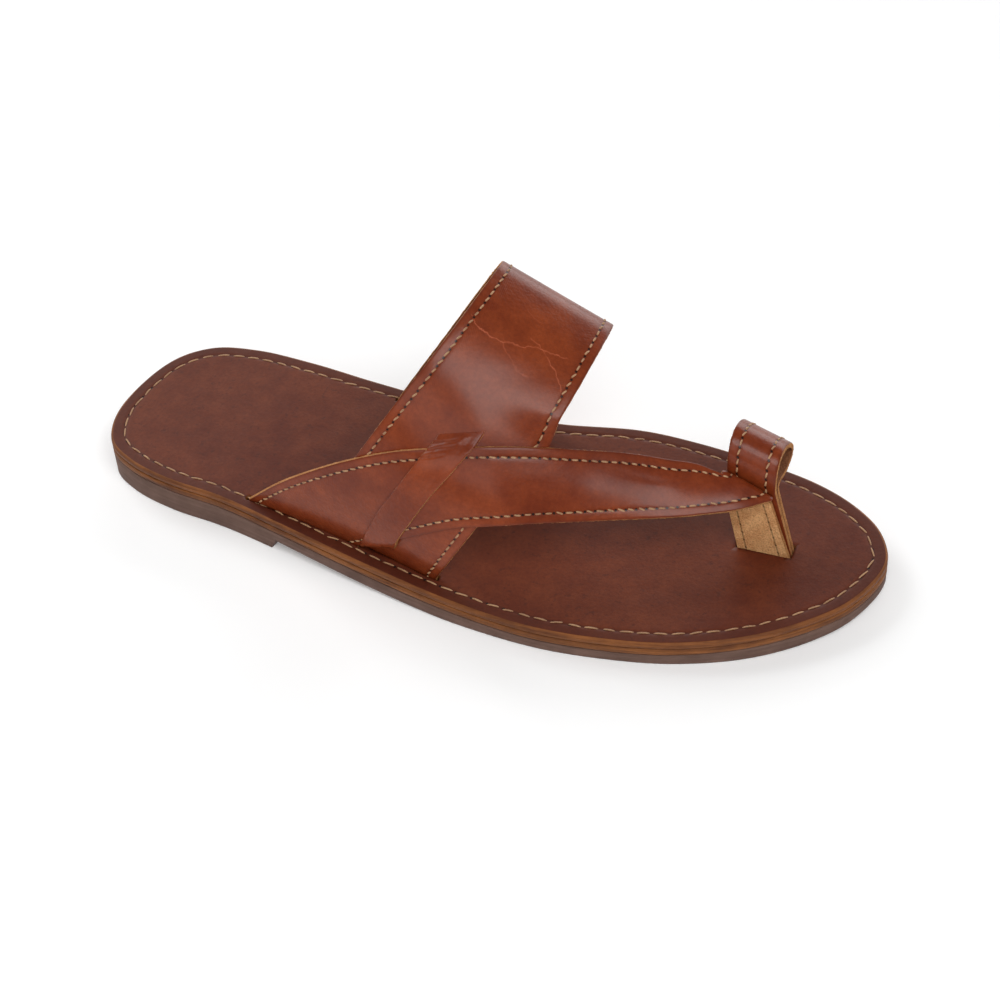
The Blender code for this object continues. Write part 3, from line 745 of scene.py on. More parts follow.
def line_distance(x, y, line):
    """Distance of every place from a line of points."""
    best = np.full(np.shape(x), 1e9)
    for (ax, ay), (bx, by) in zip(line[:-1], line[1:]):
        dx, dy = bx - ax, by - ay
        t = np.clip(((x - ax) * dx + (y - ay) * dy) / (dx * dx + dy * dy), 0, 1)
        best = np.minimum(best, np.hypot(x - ax - t * dx, y - ay - t * dy))
    return best


def creased(x, y, creases):
    """Lift of all creases: a trough with two low shoulders, fading at its ends by its distance."""
    lift = np.zeros(np.shape(x))
    for depth, width, line in creases:
        apart = line_distance(x, y, line)
        lift += -depth * bump(apart, width) + 0.45 * depth * bump(apart - 1.9 * width, width)
    return lift


# Along the band from its rear edge, in mm, and the turn in hundredths
BAND_CREASES = (
    (0.05 * MM, 2.2, ((18, 33), (26, 36), (34, 40))),
    (0.04 * MM, 1.8, ((6, 24), (13, 22), (20, 23))),
)
band_shares = column_shares(band_width)
band_along = band_rear[:, None] * (1 - band_shares) + band_front[:, None] * band_shares
band_turn = np.broadcast_to(band_turns[:, None], band_along.shape)
band_across = band_shares * band_width[:, None] / MM
band_depth = edge_depth(band_shares, band_width)
band_lift = WALL + face_relief(band_depth) + creased(band_across, band_turn * 100, BAND_CREASES)
# Turns at which the band begins to go under the strap, is under it, begins to come out, and is out
BAND_PRESSED = (0.120, 0.170, 0.285, 0.340)


def band_grid(lift):
    """The band on the instep's form, and on the toes' form where the strap presses it down."""
    pressed = ease(*BAND_PRESSED[:2], band_turn) * (1 - ease(*BAND_PRESSED[2:], band_turn))
    pressed = pressed[..., None]
    free, under = laid(band_along, band_turn, lift), laid(band_along, band_turn, lift, toes=True)
    return free * (1 - pressed) + under * pressed


band_inner, band_outer = band_grid(np.zeros(band_along.shape)), band_grid(band_lift)
print("deepest crease", round(float((band_lift - WALL).min()) * 1000, 2), "mm")


def tail(row):
    """A row of points at the foot bed, moved straight down through the insole."""
    return row - np.array([0, 0, INSOLE])


def with_tails(grid, ends):
    """Adds rows below the foot bed at the first row, and at the last."""
    parts = [grid]
    if ends[0]:
        parts.insert(0, tail(grid[:1]))
    if ends[1]:
        parts.append(tail(grid[-1:]))
    return np.concatenate(parts)


def with_end_rows(rows, ends):
    """Repeats the first and last row of a table of values, as with_tails does for points."""
    return np.concatenate([rows[:1]] * ends[0] + [rows] + [rows[-1:]] * ends[1])


BOTH = (1, 1)
band_faces = [with_tails(grid, BOTH) for grid in (band_inner, band_outer)]
band_shares, band_width = (with_end_rows(rows, BOTH) for rows in (band_shares, band_width))
band_spots = band_shares * band_width[:, None] / MM, with_end_rows(band_turn * 100, BOTH)
band, band_lines = strap_slab(
    "instep_band", *band_faces, band_shares, band_width, [band_leather, cut_edge, suede_in_painted_shade],
    {"painted_light": np.zeros(band_shares.shape)}, band_spots,
)

# %% [markdown]
# ## Diagonal strap
# The strap leaves the sole at the outer side, crosses the band, passes under the bridge and ends between
# the first two toes, where it bends down to the toe slot with its suede side outwards. Its two edges are
# a table of places on the foot form. The bend turns each row about a line under its end.

# %% Strap rows
TOE_POST, TOE_BEND = 0.074, 0.0007
TOE_SLOT, TOE_SLOT_LENGTH = 0.8207, 0.0193
# upper edge: along, turn; lower edge: along, turn
STRAP = (
    (0.236, 0.000, 0.393, 0.000),
    (0.286, 0.048, 0.418, 0.017),
    (0.343, 0.093, 0.450, 0.043),
    (0.407, 0.141, 0.489, 0.077),
    (0.479, 0.194, 0.532, 0.112),
    (0.548, 0.241, 0.580, 0.146),
    (0.606, 0.287, 0.630, 0.183),
    (0.654, 0.327, 0.680, 0.214),
    (0.703, 0.365, 0.732, 0.242),
    (0.743, 0.391, 0.780, 0.269),
    (0.775, 0.411, 0.823, 0.312),
    (0.799, 0.414, 0.859, 0.390),
)
STRAP_ROWS, STRAP_SHIFT_ROWS = 250, 0.17


def edge_rows(table, low_place, high_place, steps):
    """Each column of a table read at even places from its first row to its last."""
    place_of = np.linspace(0, 1, len(table))
    at = np.linspace(low_place, high_place, steps)
    return [read_table([(p, row[k]) for p, row in zip(place_of, table)], 1, at) for k in range(len(table[0]))]


def across_rows(edges, shares):
    """Places between two edges."""
    along = (edges[0][:, None] * (1 - shares) + edges[2][:, None] * shares) * SOLE_LENGTH
    return along, edges[1][:, None] * (1 - shares) + edges[3][:, None] * shares


strap_edges = edge_rows(STRAP, 0, 1, STRAP_ROWS)
flat_along, flat_turn = across_rows(strap_edges, np.linspace(0, 1, 9)[None, :].repeat(STRAP_ROWS, axis=0))
flat = laid(flat_along, flat_turn, np.full(flat_along.shape, WALL), toes=True)
strap_width = np.linalg.norm(np.diff(flat, axis=1), axis=2).sum(1)
strap_shares = column_shares(strap_width)
strap_along, strap_turn = across_rows(strap_edges, strap_shares)
strap_depth = edge_depth(strap_shares, strap_width)
strap_run = run_length(flat[:, 4])
sample_widths = np.round(strap_width[[0, 120, -1]] * 1000, 1)
print("strap", round(strap_run[-1] * 1000), "mm long,", sample_widths, "mm wide")

# %% Strap creases, faces and bend
# Along the strap's middle from the sole, in mm, and across it from its upper edge, in mm
STRAP_CREASES = (
    (0.28 * MM, 1.4, ((60, 2), (64, 6), (66, 11), (67, 17))),
    (0.16 * MM, 1.1, ((72, 1), (75, 5), (77, 10))),
    (0.22 * MM, 1.5, ((101, 24), (98, 18), (96, 12))),
    (0.14 * MM, 1.0, ((34, 8), (42, 11), (50, 12))),
    (0.10 * MM, 0.9, ((120, 4), (129, 7), (139, 8))),
    (0.14 * MM, 1.4, ((176, 4), (181, 8), (184, 13))),
    (0.10 * MM, 1.0, ((168, 6), (171, 11), (173, 15))),
)
strap_across = strap_shares * strap_width[:, None] / MM
strap_place = np.broadcast_to(strap_run[:, None] / MM, strap_across.shape)
swell = 0.35 * MM * np.sin(np.pi * strap_shares) ** 2
strap_relief = face_relief(strap_depth) + creased(strap_place, strap_across, STRAP_CREASES)
lifts = (np.full(strap_along.shape, WALL - JOIN), 2 * WALL - JOIN + strap_relief)
strap_faces = [laid(strap_along, strap_turn, lift + swell, toes=True) for lift in lifts]
reference = [
    laid(strap_along[-1:], strap_turn[-1:], np.full((1, strap_along.shape[1]), lift), toes=True)[0]
    for lift in (WALL - JOIN, 2 * WALL - JOIN)
]
strap_faces = [softened(face, 4, 12) for face in strap_faces]
end_normal = (reference[1] - reference[0]) / WALL
post = TOE_POST * BALL_WIDTH
shift = post - WALL - TOE_BEND * (1 - end_normal[:, 1]) - reference[0][:, 1]
share = ease(1 - STRAP_SHIFT_ROWS, 1, np.linspace(0, 1, STRAP_ROWS))
for face in strap_faces:
    face[..., 1] += share[:, None] * shift
reference = [row + np.stack([0 * shift, shift, 0 * shift], axis=1) for row in reference]
centre = reference[0] - end_normal * TOE_BEND
angle = np.arccos(end_normal[:, 1])[:, None]
slot = TOE_SLOT * SOLE_LENGTH + np.interp(
    strap_shares[-1], (0, 1), (GAP + 0.3 * INSOLE, TOE_SLOT_LENGTH - GAP)
)
end_relief = face_relief(strap_depth[-1])
for k, (radius, y) in enumerate(((TOE_BEND, post - WALL), (TOE_BEND + WALL, post))):
    relief = end_relief[:, None] * k
    bend = []
    for part in np.linspace(0, 1, 13)[1:]:
        way = end_normal * np.sin((1 - part) * angle) + np.array([0, 1.0, 0]) * np.sin(part * angle)
        bend.append(centre + (radius + relief) * way / np.sin(angle))
    foot = np.column_stack([slot, np.full(len(slot), y) + relief[:, 0], bed_height(slot) - INSOLE])
    drop = [bend[-1] * (1 - part) + foot * part for part in np.linspace(0, 1, 29)[1:]]
    strap_faces[k] = np.concatenate([strap_faces[k], np.array(bend + drop)])
extra_rows = len(strap_faces[0]) - STRAP_ROWS
strap_width = np.concatenate([strap_width, np.full(extra_rows, strap_width[-1])])
strap_shares = np.concatenate([strap_shares, np.repeat(strap_shares[-1:], extra_rows, axis=0)])
strap_painted_light = np.zeros(strap_shares.shape)
# Painted highlight: a lighter patch on the strap's middle, 84 mm from the sole and 9 mm from its upper edge
strap_painted_light[:STRAP_ROWS] += 0.16 * bump(strap_place - 84, 9) * bump(strap_across - 9, 6)
# Painted shade: a darker band right across the strap, 58 mm from the sole
strap_painted_light[:STRAP_ROWS] -= 0.18 * bump(strap_place - 58, 4)
START = (1, 0)
strap_faces = [with_tails(grid, START) for grid in strap_faces]
strap_shares, strap_width, strap_painted_light = (
    with_end_rows(rows, START) for rows in (strap_shares, strap_width, strap_painted_light)
)
strap, strap_lines = strap_slab(
    "toe_strap", *strap_faces, strap_shares, strap_width, [leather, cut_edge, suede], {"painted_light": strap_painted_light}
)

# %% [markdown]
# ## Bridge
# A strip of the band between two slits is lifted over the strap and holds it down. Its table gives both
# edges on the form and how far its two faces stand off, so it rises out of the band, passes over the
# strap and goes back into the band.

# %% Bridge rows
# rear along, rear turn, front along, front turn, inner and outer lift in leather thicknesses
BRIDGE = (
    (0.399, 0.000, 0.447, 0.020, 0.30, 0.75),
    (0.401, 0.005, 0.455, 0.037, 0.95, 1.95),
    (0.406, 0.017, 0.461, 0.052, 1.55, 2.55),
    (0.431, 0.073, 0.482, 0.097, 1.75, 2.75),
    (0.455, 0.119, 0.504, 0.147, 1.75, 2.75),
    (0.474, 0.160, 0.521, 0.183, 1.75, 2.75),
    (0.487, 0.192, 0.536, 0.220, 1.45, 2.45),
    (0.495, 0.213, 0.545, 0.243, 0.60, 1.50),
    (0.500, 0.228, 0.550, 0.264, 0.20, 1.02),
)
BRIDGE_ROWS, BRIDGE_COLUMNS, BRIDGE_EDGE = 120, 25, 0.0012
# Along the bridge from its upper end, in mm, and across it from its rear edge, in mm
BRIDGE_CREASES = (
    (0.20 * MM, 0.7, ((7.5, 0), (6.2, 4), (5.5, 8))),
    (0.24 * MM, 0.7, ((4.6, 0), (3.4, 4), (2.4, 8))),
    (0.16 * MM, 0.6, ((10.5, 1), (9.6, 5), (9.0, 7))),
    (0.12 * MM, 0.6, ((2.0, 2), (1.2, 6), (0.6, 10))),
)
bridge_edges = edge_rows(BRIDGE, 0, 1, BRIDGE_ROWS)
bridge_shares = np.linspace(0, 1, BRIDGE_COLUMNS)[None, :].repeat(BRIDGE_ROWS, axis=0)
bridge_along, bridge_turn = across_rows(bridge_edges, bridge_shares)
bridge_flat = laid(bridge_along, bridge_turn, np.full(bridge_along.shape, 2 * WALL))
bridge_width = np.linalg.norm(np.diff(bridge_flat, axis=1), axis=2).sum(1)
bridge_run = run_length(bridge_flat[:, BRIDGE_COLUMNS // 2]) / MM
bridge_across = bridge_shares * bridge_width[:, None] / MM
bridge_place = np.broadcast_to(bridge_run[-1] - bridge_run[:, None], bridge_across.shape)
bridge_relief = face_relief(edge_depth(bridge_shares, bridge_width) + 0.1 * MM) * 0.7
bridge_relief = bridge_relief + creased(bridge_place, bridge_across, BRIDGE_CREASES)
bridge_relief = bridge_relief + 0.30 * MM * np.sin(np.pi * bridge_shares)
bridge_relief = bridge_relief * ease(0, 3, bridge_place)
bridge_faces = [
    laid(bridge_along, bridge_turn, np.broadcast_to(lift[:, None] * WALL, bridge_along.shape) + extra)
    for lift, extra in ((bridge_edges[4], 0), (bridge_edges[5], bridge_relief))
]
# Painted highlight on the bridge: a little lighter from a few mm below its upper end, and lightest about 14
# mm below it
bridge, _ = strap_slab(
    "bridge_strip", *bridge_faces, bridge_shares, bridge_width, [bridge_leather, cut_edge, suede_in_painted_shade],
    {"painted_light": 0.05 * ease(1, 6, bridge_place) + 0.15 * bump(bridge_place - 14, 7)},
)

# %% [markdown]
# ## Toe ring
# The ring is a ribbon of the same leather whose two legs stand side by side in the toe slot. Its loop is
# a closed curve seen along the foot, swept along the foot by the ribbon's width, and it slopes down to
# the toes as the strap does.

# %% Ring loop
RING_WIDTH, RING_REACH, RING_PINCH = 0.0165, 0.0189, 0.0360
RING_RISE, RING_SLOPE, RING_LEAN = 0.0112, 0.35, 0.0068
# across: share of the reach from the near leg; rise: share of the rise above the pinch
RING_LOOP = (
    (0.005, 0.357),
    (0.042, 0.625),
    (0.148, 0.884),
    (0.339, 1.000),
    (0.561, 0.929),
    (0.804, 0.696),
    (0.958, 0.429),
    (1.000, 0.286),
    (0.989, 0.152),
    (0.942, 0.045),
    (0.836, 0.009),
    (0.672, -0.027),
    (0.460, 0.000),
    (0.275, 0.071),
    (0.164, 0.027),
    (0.122, -0.179),
)
RING_ROWS = 240
near_leg = post + GAP + WALL / 2
far_leg = near_leg + WALL + GAP
base = float(bed_height(TOE_SLOT * SOLE_LENGTH)) - INSOLE
legs_up = [(near_leg, base + part * (RING_PINCH - base)) for part in (0, 0.3, 0.6, 0.9)]
loop = [(near_leg + across * RING_REACH, RING_PINCH + rise * RING_RISE) for across, rise in RING_LOOP]
legs_down = [(far_leg, base + part * (RING_PINCH - base)) for part in (0.75, 0.5, 0.25, 0)]
ring_path = spaced(smooth_loop(legs_up + loop + legs_down, 12, closed=False), RING_ROWS)
tangent = unit(np.gradient(ring_path, axis=0))
ring_normal = np.column_stack([-tangent[:, 1], tangent[:, 0]])
leg_share = np.clip((ring_path[:, 1] - base) / (RING_PINCH - base), 0, 1)
slot_front = TOE_SLOT * SOLE_LENGTH + TOE_SLOT_LENGTH - GAP
ring_width = np.full(RING_ROWS, RING_WIDTH)
ring_shares = column_shares(ring_width)
ring_depth = edge_depth(ring_shares, ring_width)
ring_faces = []
for side in (-0.5, 0.5):
    relief = face_relief(ring_depth) if side > 0 else np.zeros(ring_depth.shape)
    thick = side * WALL + relief
    x = slot_front - RING_LEAN * leg_share[:, None] - ring_shares * RING_WIDTH
    y = ring_path[:, :1] + ring_normal[:, :1] * thick
    z = ring_path[:, 1:] + ring_normal[:, 1:] * thick
    sole = bed_height(x) - INSOLE - base
    z = z + ring_shares * RING_WIDTH * RING_SLOPE * leg_share[:, None] + sole * (1 - leg_share[:, None])
    ring_faces.append(np.stack([x, y, z], axis=-1))
ring, ring_lines = strap_slab(
    "toe_loop", *ring_faces, ring_shares, ring_width, [leather, cut_edge, suede_in_painted_shade],
    {"painted_light": np.zeros(ring_shares.shape)},
)
# The loop is followed the other way round than the straps, so its faces are turned to look outward
ring.data.flip_normals()

# %% [markdown]
# ## Sole layers
# Each layer of the sole is the outline with a rounded rim: rings of points step inwards from the edge,
# and a ladder of rows fills the middle. The foot bed dips at its stitch line, the rubber has its heel
# step, and the seam map again keeps the distance round the rim and from it.

# %% Rings and ladder
SOLE_ROWS = 150
SOLE_STITCH_INSET, SOLE_PITCH = 4.9 * MM, 6.0 * MM
LADDER = 28


def split_outline():
    """The outline's medial and lateral sides, read at the same places along the sole."""
    heel, toe = outline[:, 0].argmin(), outline[:, 0].argmax()
    ring = np.roll(outline, -heel, axis=0)
    toe = (toe - heel) % len(outline)
    sides = ring[: toe + 1], np.vstack([ring[toe:], ring[:1]])[::-1]
    along = SOLE_LENGTH * (1 - np.cos(np.linspace(0, np.pi, SOLE_ROWS))) / 2
    breast = HEEL_BREAST * SOLE_LENGTH
    along = np.sort(np.concatenate([along, [breast, breast + 1e-6]]))
    return [np.column_stack([along, np.interp(along, side[:, 0], side[:, 1])]) for side in sides]


medial, lateral = split_outline()
rim = np.vstack([medial, lateral[-2:0:-1]])
rim_run = run_length(np.vstack([rim, rim[:1]]))
rim_way = unit(np.roll(rim, -1, axis=0) - np.roll(rim, 1, axis=0))
rim_in = np.column_stack([-rim_way[:, 1], rim_way[:, 0]])
rim_in *= np.sign((rim_in * (np.array([SOLE_LENGTH / 2, 0]) - rim)).sum(1).mean())
for _ in range(6):
    rim_in = unit(rim_in + 0.5 * (np.roll(rim_in, 1, axis=0) + np.roll(rim_in, -1, axis=0)))
print("rim", len(rim), "points,", round(rim_run[-1] * 1000), "mm")


def sole_layer(name, top, bottom, rings_top, rings_bottom, finishes):
    """Top rings, the side wall, bottom rings, and a ladder on both faces. A ring is an inset from the
    outline, with a height over its face and a kind of finish for the faces that lead to the next ring."""
    count = len(rim)
    half = len(medial)
    steps = [(inset, top, lift, kind) for inset, lift, kind in rings_top]
    steps += [(inset, bottom, lift, kind) for inset, lift, kind in rings_bottom]
    rows, maps = [], []
    for inset, height, lift, _ in steps:
        flat_ring = rim + rim_in * inset
        rows.append(np.column_stack([flat_ring, height(np.clip(flat_ring[:, 0], 0, SOLE_LENGTH)) + lift]))
        maps.append(np.column_stack([rim_run[:-1], np.full(count, inset)]))
    points, seam = np.vstack(rows), np.vstack(maps)
    faces = list(quads(len(steps), count, wrap=True))
    kinds = [kind for *_, kind in steps[:-1] for _ in range(count)]
    for ring_index, height, turn_over in ((0, top, True), (len(steps) - 1, bottom, False)):
        ring_points = rows[ring_index]
        one, other = ring_points[1 : half - 1], ring_points[: half - 1 : -1]
        part = np.linspace(0, 1, LADDER + 1)[None, 1:-1, None]
        inner_points = one[:, None] * (1 - part) + other[:, None] * part
        inner_points[..., 2] = height(inner_points[..., 0])
        start = len(points)
        depth = np.minimum(part, 1 - part)[..., 0] * np.linalg.norm(other - one, axis=1)[:, None]
        run = np.broadcast_to(rim_run[1 : half - 1, None], depth.shape)
        points = np.vstack([points, inner_points.reshape(-1, 3)])
        seam = np.vstack([seam, np.stack([run, depth + steps[ring_index][0]], axis=-1).reshape(-1, 2)])
        inside = start + np.arange(inner_points.shape[0] * (LADDER - 1)).reshape(-1, LADDER - 1)
        offset = ring_index * count
        first = offset + np.arange(1, half - 1)
        last = offset + np.arange(count - 1, half - 1, -1)
        index = np.column_stack([first, inside, last])
        around = [index[:-1, :-1], index[1:, :-1], index[1:, 1:], index[:-1, 1:]]
        heel_fan = [(offset, index[0, k], index[0, k + 1]) for k in range(LADDER)]
        toe_fan = [(offset + half - 1, index[-1, k + 1], index[-1, k]) for k in range(LADDER)]
        new = [tuple(face) for face in np.stack(around, axis=-1).reshape(-1, 4)] + heel_fan + toe_fan
        faces += [face[::-1] if turn_over else face for face in new]
        kinds += [steps[ring_index][3]] * len(new)
    piece = make_piece(name, points, faces, finishes, kinds, {"seam": seam})
    print(name, len(points), "points,", len(faces), "faces")
    return piece


# %% [markdown]
# ## Foot bed finish
# The foot bed is dark, matt, vegetable-tanned leather: soft clouds of red-brown, small dark specks, a
# faint grain, and a darker rim outside the stitch line. Its side is raw leather with streaks along it.

# %% Foot bed, edge and rubber finishes


def foot_bed():
    finish = Finish("foot_bed", 0.5, Specular_IOR_Level=0.20)
    where = finish.place()
    run, depth = finish.seam()
    clouds = finish.noise(where, 0.05, 4.0, 0.55).between(0.3, 0.7)
    mottle = finish.noise(where, 0.008, 5.0, 0.65).between(0.3, 0.75)
    colour = finish.mix(clouds * 0.5 + mottle * 0.5, (0.084, 0.0140, 0.0054), (0.148, 0.032, 0.0110))
    flecks = finish.noise(where, 0.0012, 4.0, 0.65).between(0.38, 0.66)
    colour = finish.mix(flecks * 0.22, colour, (0.040, 0.008, 0.004))
    specks = finish.noise(where, 0.0022, 3.0, 0.55).between(0.60, 0.70)
    colour = finish.mix(specks * 0.35, colour, (0.035, 0.010, 0.007))
    edge = 1 - depth.between(3.2 * MM, 5.4 * MM)
    colour = finish.mix(edge * 0.45, colour, (0.052, 0.012, 0.006))
    # Painted shade: darker in the stitch groove, and nearly black in the needle holes
    groove = depth.at(SOLE_STITCH_INSET, 1.1 * MM)
    colour = finish.mix(groove * 0.45, colour, (0.040, 0.012, 0.008))
    hole = holes(run, depth, SOLE_STITCH_INSET, SOLE_PITCH, 0.55 * MM)
    colour = finish.mix(hole * 0.9, colour, (0.010, 0.005, 0.004))
    finish.colour(colour)
    rough = 0.46 + finish.noise(where, 0.005, 3.0, 0.6) * 0.16
    finish.put(finish.shader.inputs["Roughness"], rough)
    grain = finish.cells(where, 0.0010, "SMOOTH_F1") * (0.035 * MM)
    fine = finish.noise(where, 0.0005, 2.0, 0.6) * (0.03 * MM)
    wave = finish.noise(where, 0.012, 3.0, 0.5) * (0.20 * MM)
    finish.relief(grain + fine + wave - hole * (0.4 * MM))
    return finish.material


def raw_edge(name, dark, pale):
    """Tan leather seen edge on: streaks along the sole."""
    finish = Finish(name, 0.6, Specular_IOR_Level=0.22)
    where = finish.place()
    streaks = finish.noise(finish.place((40, 40, 900)), 1.0, 4.0, 0.6).between(0.32, 0.68)
    patches = finish.noise(where, 0.012, 4.0, 0.6).between(0.3, 0.7)
    colour = finish.mix(streaks * 0.6 + patches * 0.4, dark, pale)
    finish.colour(colour)
    finish.relief(streaks * (0.12 * MM) + finish.noise(where, 0.0007, 2.0, 0.6) * (0.05 * MM))
    return finish.material


def rubber_finish():
    finish = Finish("sole_rubber", 0.7, Specular_IOR_Level=0.3)
    where = finish.place()
    patches = finish.noise(where, 0.01, 4.0, 0.6).between(0.3, 0.7)
    streaks = finish.noise(finish.place((30, 30, 700)), 1.0, 3.0, 0.6).between(0.35, 0.7)
    colour = finish.mix(patches * 0.5 + streaks * 0.5, (0.100, 0.054, 0.040), (0.175, 0.100, 0.076))
    finish.colour(colour)
    finish.relief(finish.noise(where, 0.0006, 2.0, 0.6) * (0.06 * MM) + streaks * (0.04 * MM))
    return finish.material


bed_finish = foot_bed()
bed_edge = raw_edge("bed_edge", (0.085, 0.024, 0.0075), (0.270, 0.092, 0.0230))
mid_edge = raw_edge("mid_edge", (0.090, 0.027, 0.0085), (0.285, 0.100, 0.0255))
sole_finish = rubber_finish()
print("sole finishes", bed_finish.name, mid_edge.name, sole_finish.name)

# %% Foot bed, midsole and outsole
TOP, SIDE = 0, 1


def bed_relief(inset):
    """The rim of the foot bed is rounded, and the thread pulls a groove."""
    rounding = -0.40 * MM * max(0.0, 1 - inset / (1.1 * MM)) ** 2
    return rounding - 0.22 * MM * float(bump(inset - SOLE_STITCH_INSET, 0.7 * MM))


# Insets of the foot bed's rings from its rim, in mm, close together at the stitch line
BED_INSETS = (9, 7.5, 6.5, 5.9, 5.5, 5.2, 4.9, 4.6, 4.3, 3.9, 3.2, 2.4, 1.6, 1.1)
bed_rings = [(inset * MM, bed_relief(inset * MM), TOP) for inset in BED_INSETS]
bed_rings += [(inset * MM, bed_relief(inset * MM), SIDE) for inset in (0.8, 0.35)]
bed_rings += [(0.1 * MM, bed_relief(0.1 * MM) - 0.1 * MM, SIDE), (0.0, -0.9 * MM, SIDE)]
under_rings = [(0.0, 0.35 * MM, SIDE), (0.25 * MM, 0.0, SIDE), (9 * MM, 0.0, SIDE)]


def bed_underside(along):
    return bed_height(along) - INSOLE


def mid_top(along):
    return bed_height(along) - INSOLE - GAP


def mid_underside(along):
    return mid_top(along) - MIDSOLE


def rubber_top(along):
    return mid_underside(along) - GAP


layer_rings = [(9 * MM, 0.0, SIDE), (0.3 * MM, 0.0, SIDE), (0.0, -0.3 * MM, SIDE)]
rubber_rings = [(0.15 * MM, 0.9 * MM, SIDE), (0.1 * MM, 0.3 * MM, SIDE)]
rubber_rings += [(0.5 * MM, 0.0, SIDE), (9 * MM, 0.0, SIDE)]
foot_bed_piece, mid_piece, rubber_piece = (
    sole_layer(name, top, bottom, rings_top, rings_bottom, finishes)
    for name, top, bottom, rings_top, rings_bottom, finishes in (
        ("foot_bed", bed_height, bed_underside, bed_rings, under_rings, [bed_finish, bed_edge]),
        ("middle_layer", mid_top, mid_underside, layer_rings, under_rings, [mid_edge, mid_edge]),
        ("rubber_sole", rubber_top, tread_height, layer_rings, rubber_rings, [sole_finish, sole_finish]),
    )
)

# %% [markdown]
# ## Slots
# Every strap goes down through a slot that was punched in the foot bed. A slot is cut with a Boolean by a
# thin block round the strap's foot, so that a dark gap shows beside the leather.

# %% Cutting slots and the window


def block_parts(lower, upper):
    """Points and faces of a closed block between two grids of the same size."""
    rows, columns = lower.shape[:2]
    size = rows * columns
    index = np.arange(size).reshape(rows, columns)
    under = quads(rows, columns)
    border = [*index[0, :-1], *index[:-1, -1], *index[-1, :0:-1], *index[:0:-1, 0]]
    sides = [(b, a, a + size, b + size) for a, b in zip(border, border[1:] + border[:1])]
    faces = [*under, *(under + size)[:, ::-1], *sides]
    return np.vstack([lower.reshape(-1, 3), upper.reshape(-1, 3)]), np.array(faces)


def blocks(name, *pairs):
    """One cutter of several blocks."""
    points, faces = [], []
    for lower, upper in pairs:
        new_points, new_faces = block_parts(lower, upper)
        faces += list(new_faces + sum(len(group) for group in points))
        points.append(new_points)
    return make_piece(name, np.vstack(points), faces, [], smooth=False)


def cut(piece, cutter):
    """Takes the cutter's shape out of the piece. The new walls get the piece's last finish."""
    shape = bmesh.new()
    shape.from_mesh(cutter.data)
    bmesh.ops.recalc_face_normals(shape, faces=shape.faces)
    shape.to_mesh(cutter.data)
    shape.free()
    if not cutter.data.materials:
        cutter.data.materials.append(piece.data.materials[-1])
    step = piece.modifiers.new("cut", "BOOLEAN")
    step.operation, step.object, step.solver = "DIFFERENCE", cutter, "EXACT"
    step.material_mode, step.use_self = "TRANSFER", True
    result = bpy.data.meshes.new_from_object(piece.evaluated_get(bpy.context.evaluated_depsgraph_get()))
    piece.modifiers.clear()
    piece.data = result
    bpy.data.objects.remove(cutter, do_unlink=True)
    print(piece.name, "cut,", len(result.polygons), "faces")


def slot_block(inner, outer):
    """A block through the foot bed, with a gap on both sides of the leather and room at its ends."""
    out = unit(outer - inner)
    along = unit(inner[-1] - inner[0])
    lines = [inner - out * GAP, outer + out * GAP]
    for line in lines:
        line[0] -= along * MM
        line[-1] += along * MM
    pair = np.stack(lines, axis=1)
    deep = np.array([0, 0, 2 * INSOLE])
    return pair - deep, pair + deep


def flat_row(along, turn, lift):
    """A row along the sole at one turn and one lift."""
    return laid(along, np.full(len(along), turn), np.full(len(along), lift))


foot_rows = (
    (np.linspace(band_rear[0], band_front[0], 9), 0.0, 0.0, WALL),
    (np.linspace(band_rear[-1], band_front[-1], 9), 1.0, 0.0, WALL),
    (np.linspace(STRAP[0][0], STRAP[0][2], 9) * SOLE_LENGTH, 0.0, WALL - JOIN, 2 * WALL - JOIN),
)
slots = [
    slot_block(flat_row(along, turn, low_lift), flat_row(along, turn, high_lift))
    for along, turn, low_lift, high_lift in foot_rows
]
toe_along = TOE_SLOT * SOLE_LENGTH + np.linspace(0, TOE_SLOT_LENGTH, 3)
toe_sides = (post - WALL - GAP, post + 2 * WALL + 3 * GAP)
toe_pair = np.array([[(x, y, bed_height(x)) for y in toe_sides] for x in toe_along])
deep = np.array([0, 0, 2 * INSOLE])
# The round hole that was punched where the strap's slot begins
HOLE_RADIUS = 1.15 * MM
hole_centre = flat_row(np.array([STRAP[0][0] * SOLE_LENGTH - 0.6 * MM]), 0.0, 1.5 * WALL)[0]
hole_angle = np.linspace(0.08, np.pi - 0.08, 9)
hole_x = hole_centre[0] - HOLE_RADIUS * np.cos(hole_angle)
hole_y = HOLE_RADIUS * np.sin(hole_angle)[:, None] * np.array([-1, 1]) + hole_centre[1]
hole_z = np.full(hole_y.shape, hole_centre[2])
hole_pair = np.stack([np.stack([hole_x, hole_x], 1), hole_y, hole_z], axis=-1)
slots += [(pair - deep, pair + deep) for pair in (toe_pair, hole_pair)]
cut(foot_bed_piece, blocks("slots", *slots))

# The window takes this part of the bridge's rows, and is narrower than the bridge by its edges
WINDOW_ROWS = (0.26, 0.80)
window_edges = edge_rows(BRIDGE, *WINDOW_ROWS, 14)
window_along, window_turn = across_rows(window_edges, np.linspace(0, 1, 5)[None, :].repeat(14, axis=0))
window_along = window_along + np.linspace(BRIDGE_EDGE, -BRIDGE_EDGE, 5)[None, :]
window = [laid(window_along, window_turn, np.full(window_along.shape, lift)) for lift in (-WALL, 1.5 * WALL)]
cut(band, blocks("window", window))
print("foot bed now has", len(foot_bed_piece.data.polygons), "faces")

# %% [markdown]
# ## Thread
# Each stitch is a short bead of waxed thread that comes out of one needle hole and goes into the next. It
# is one small shape, repeated along the line: its middle is bent up a little and its ends dive into the
# leather. Small random changes of length and angle keep the row from looking printed.

# %% Thread finish and stitches


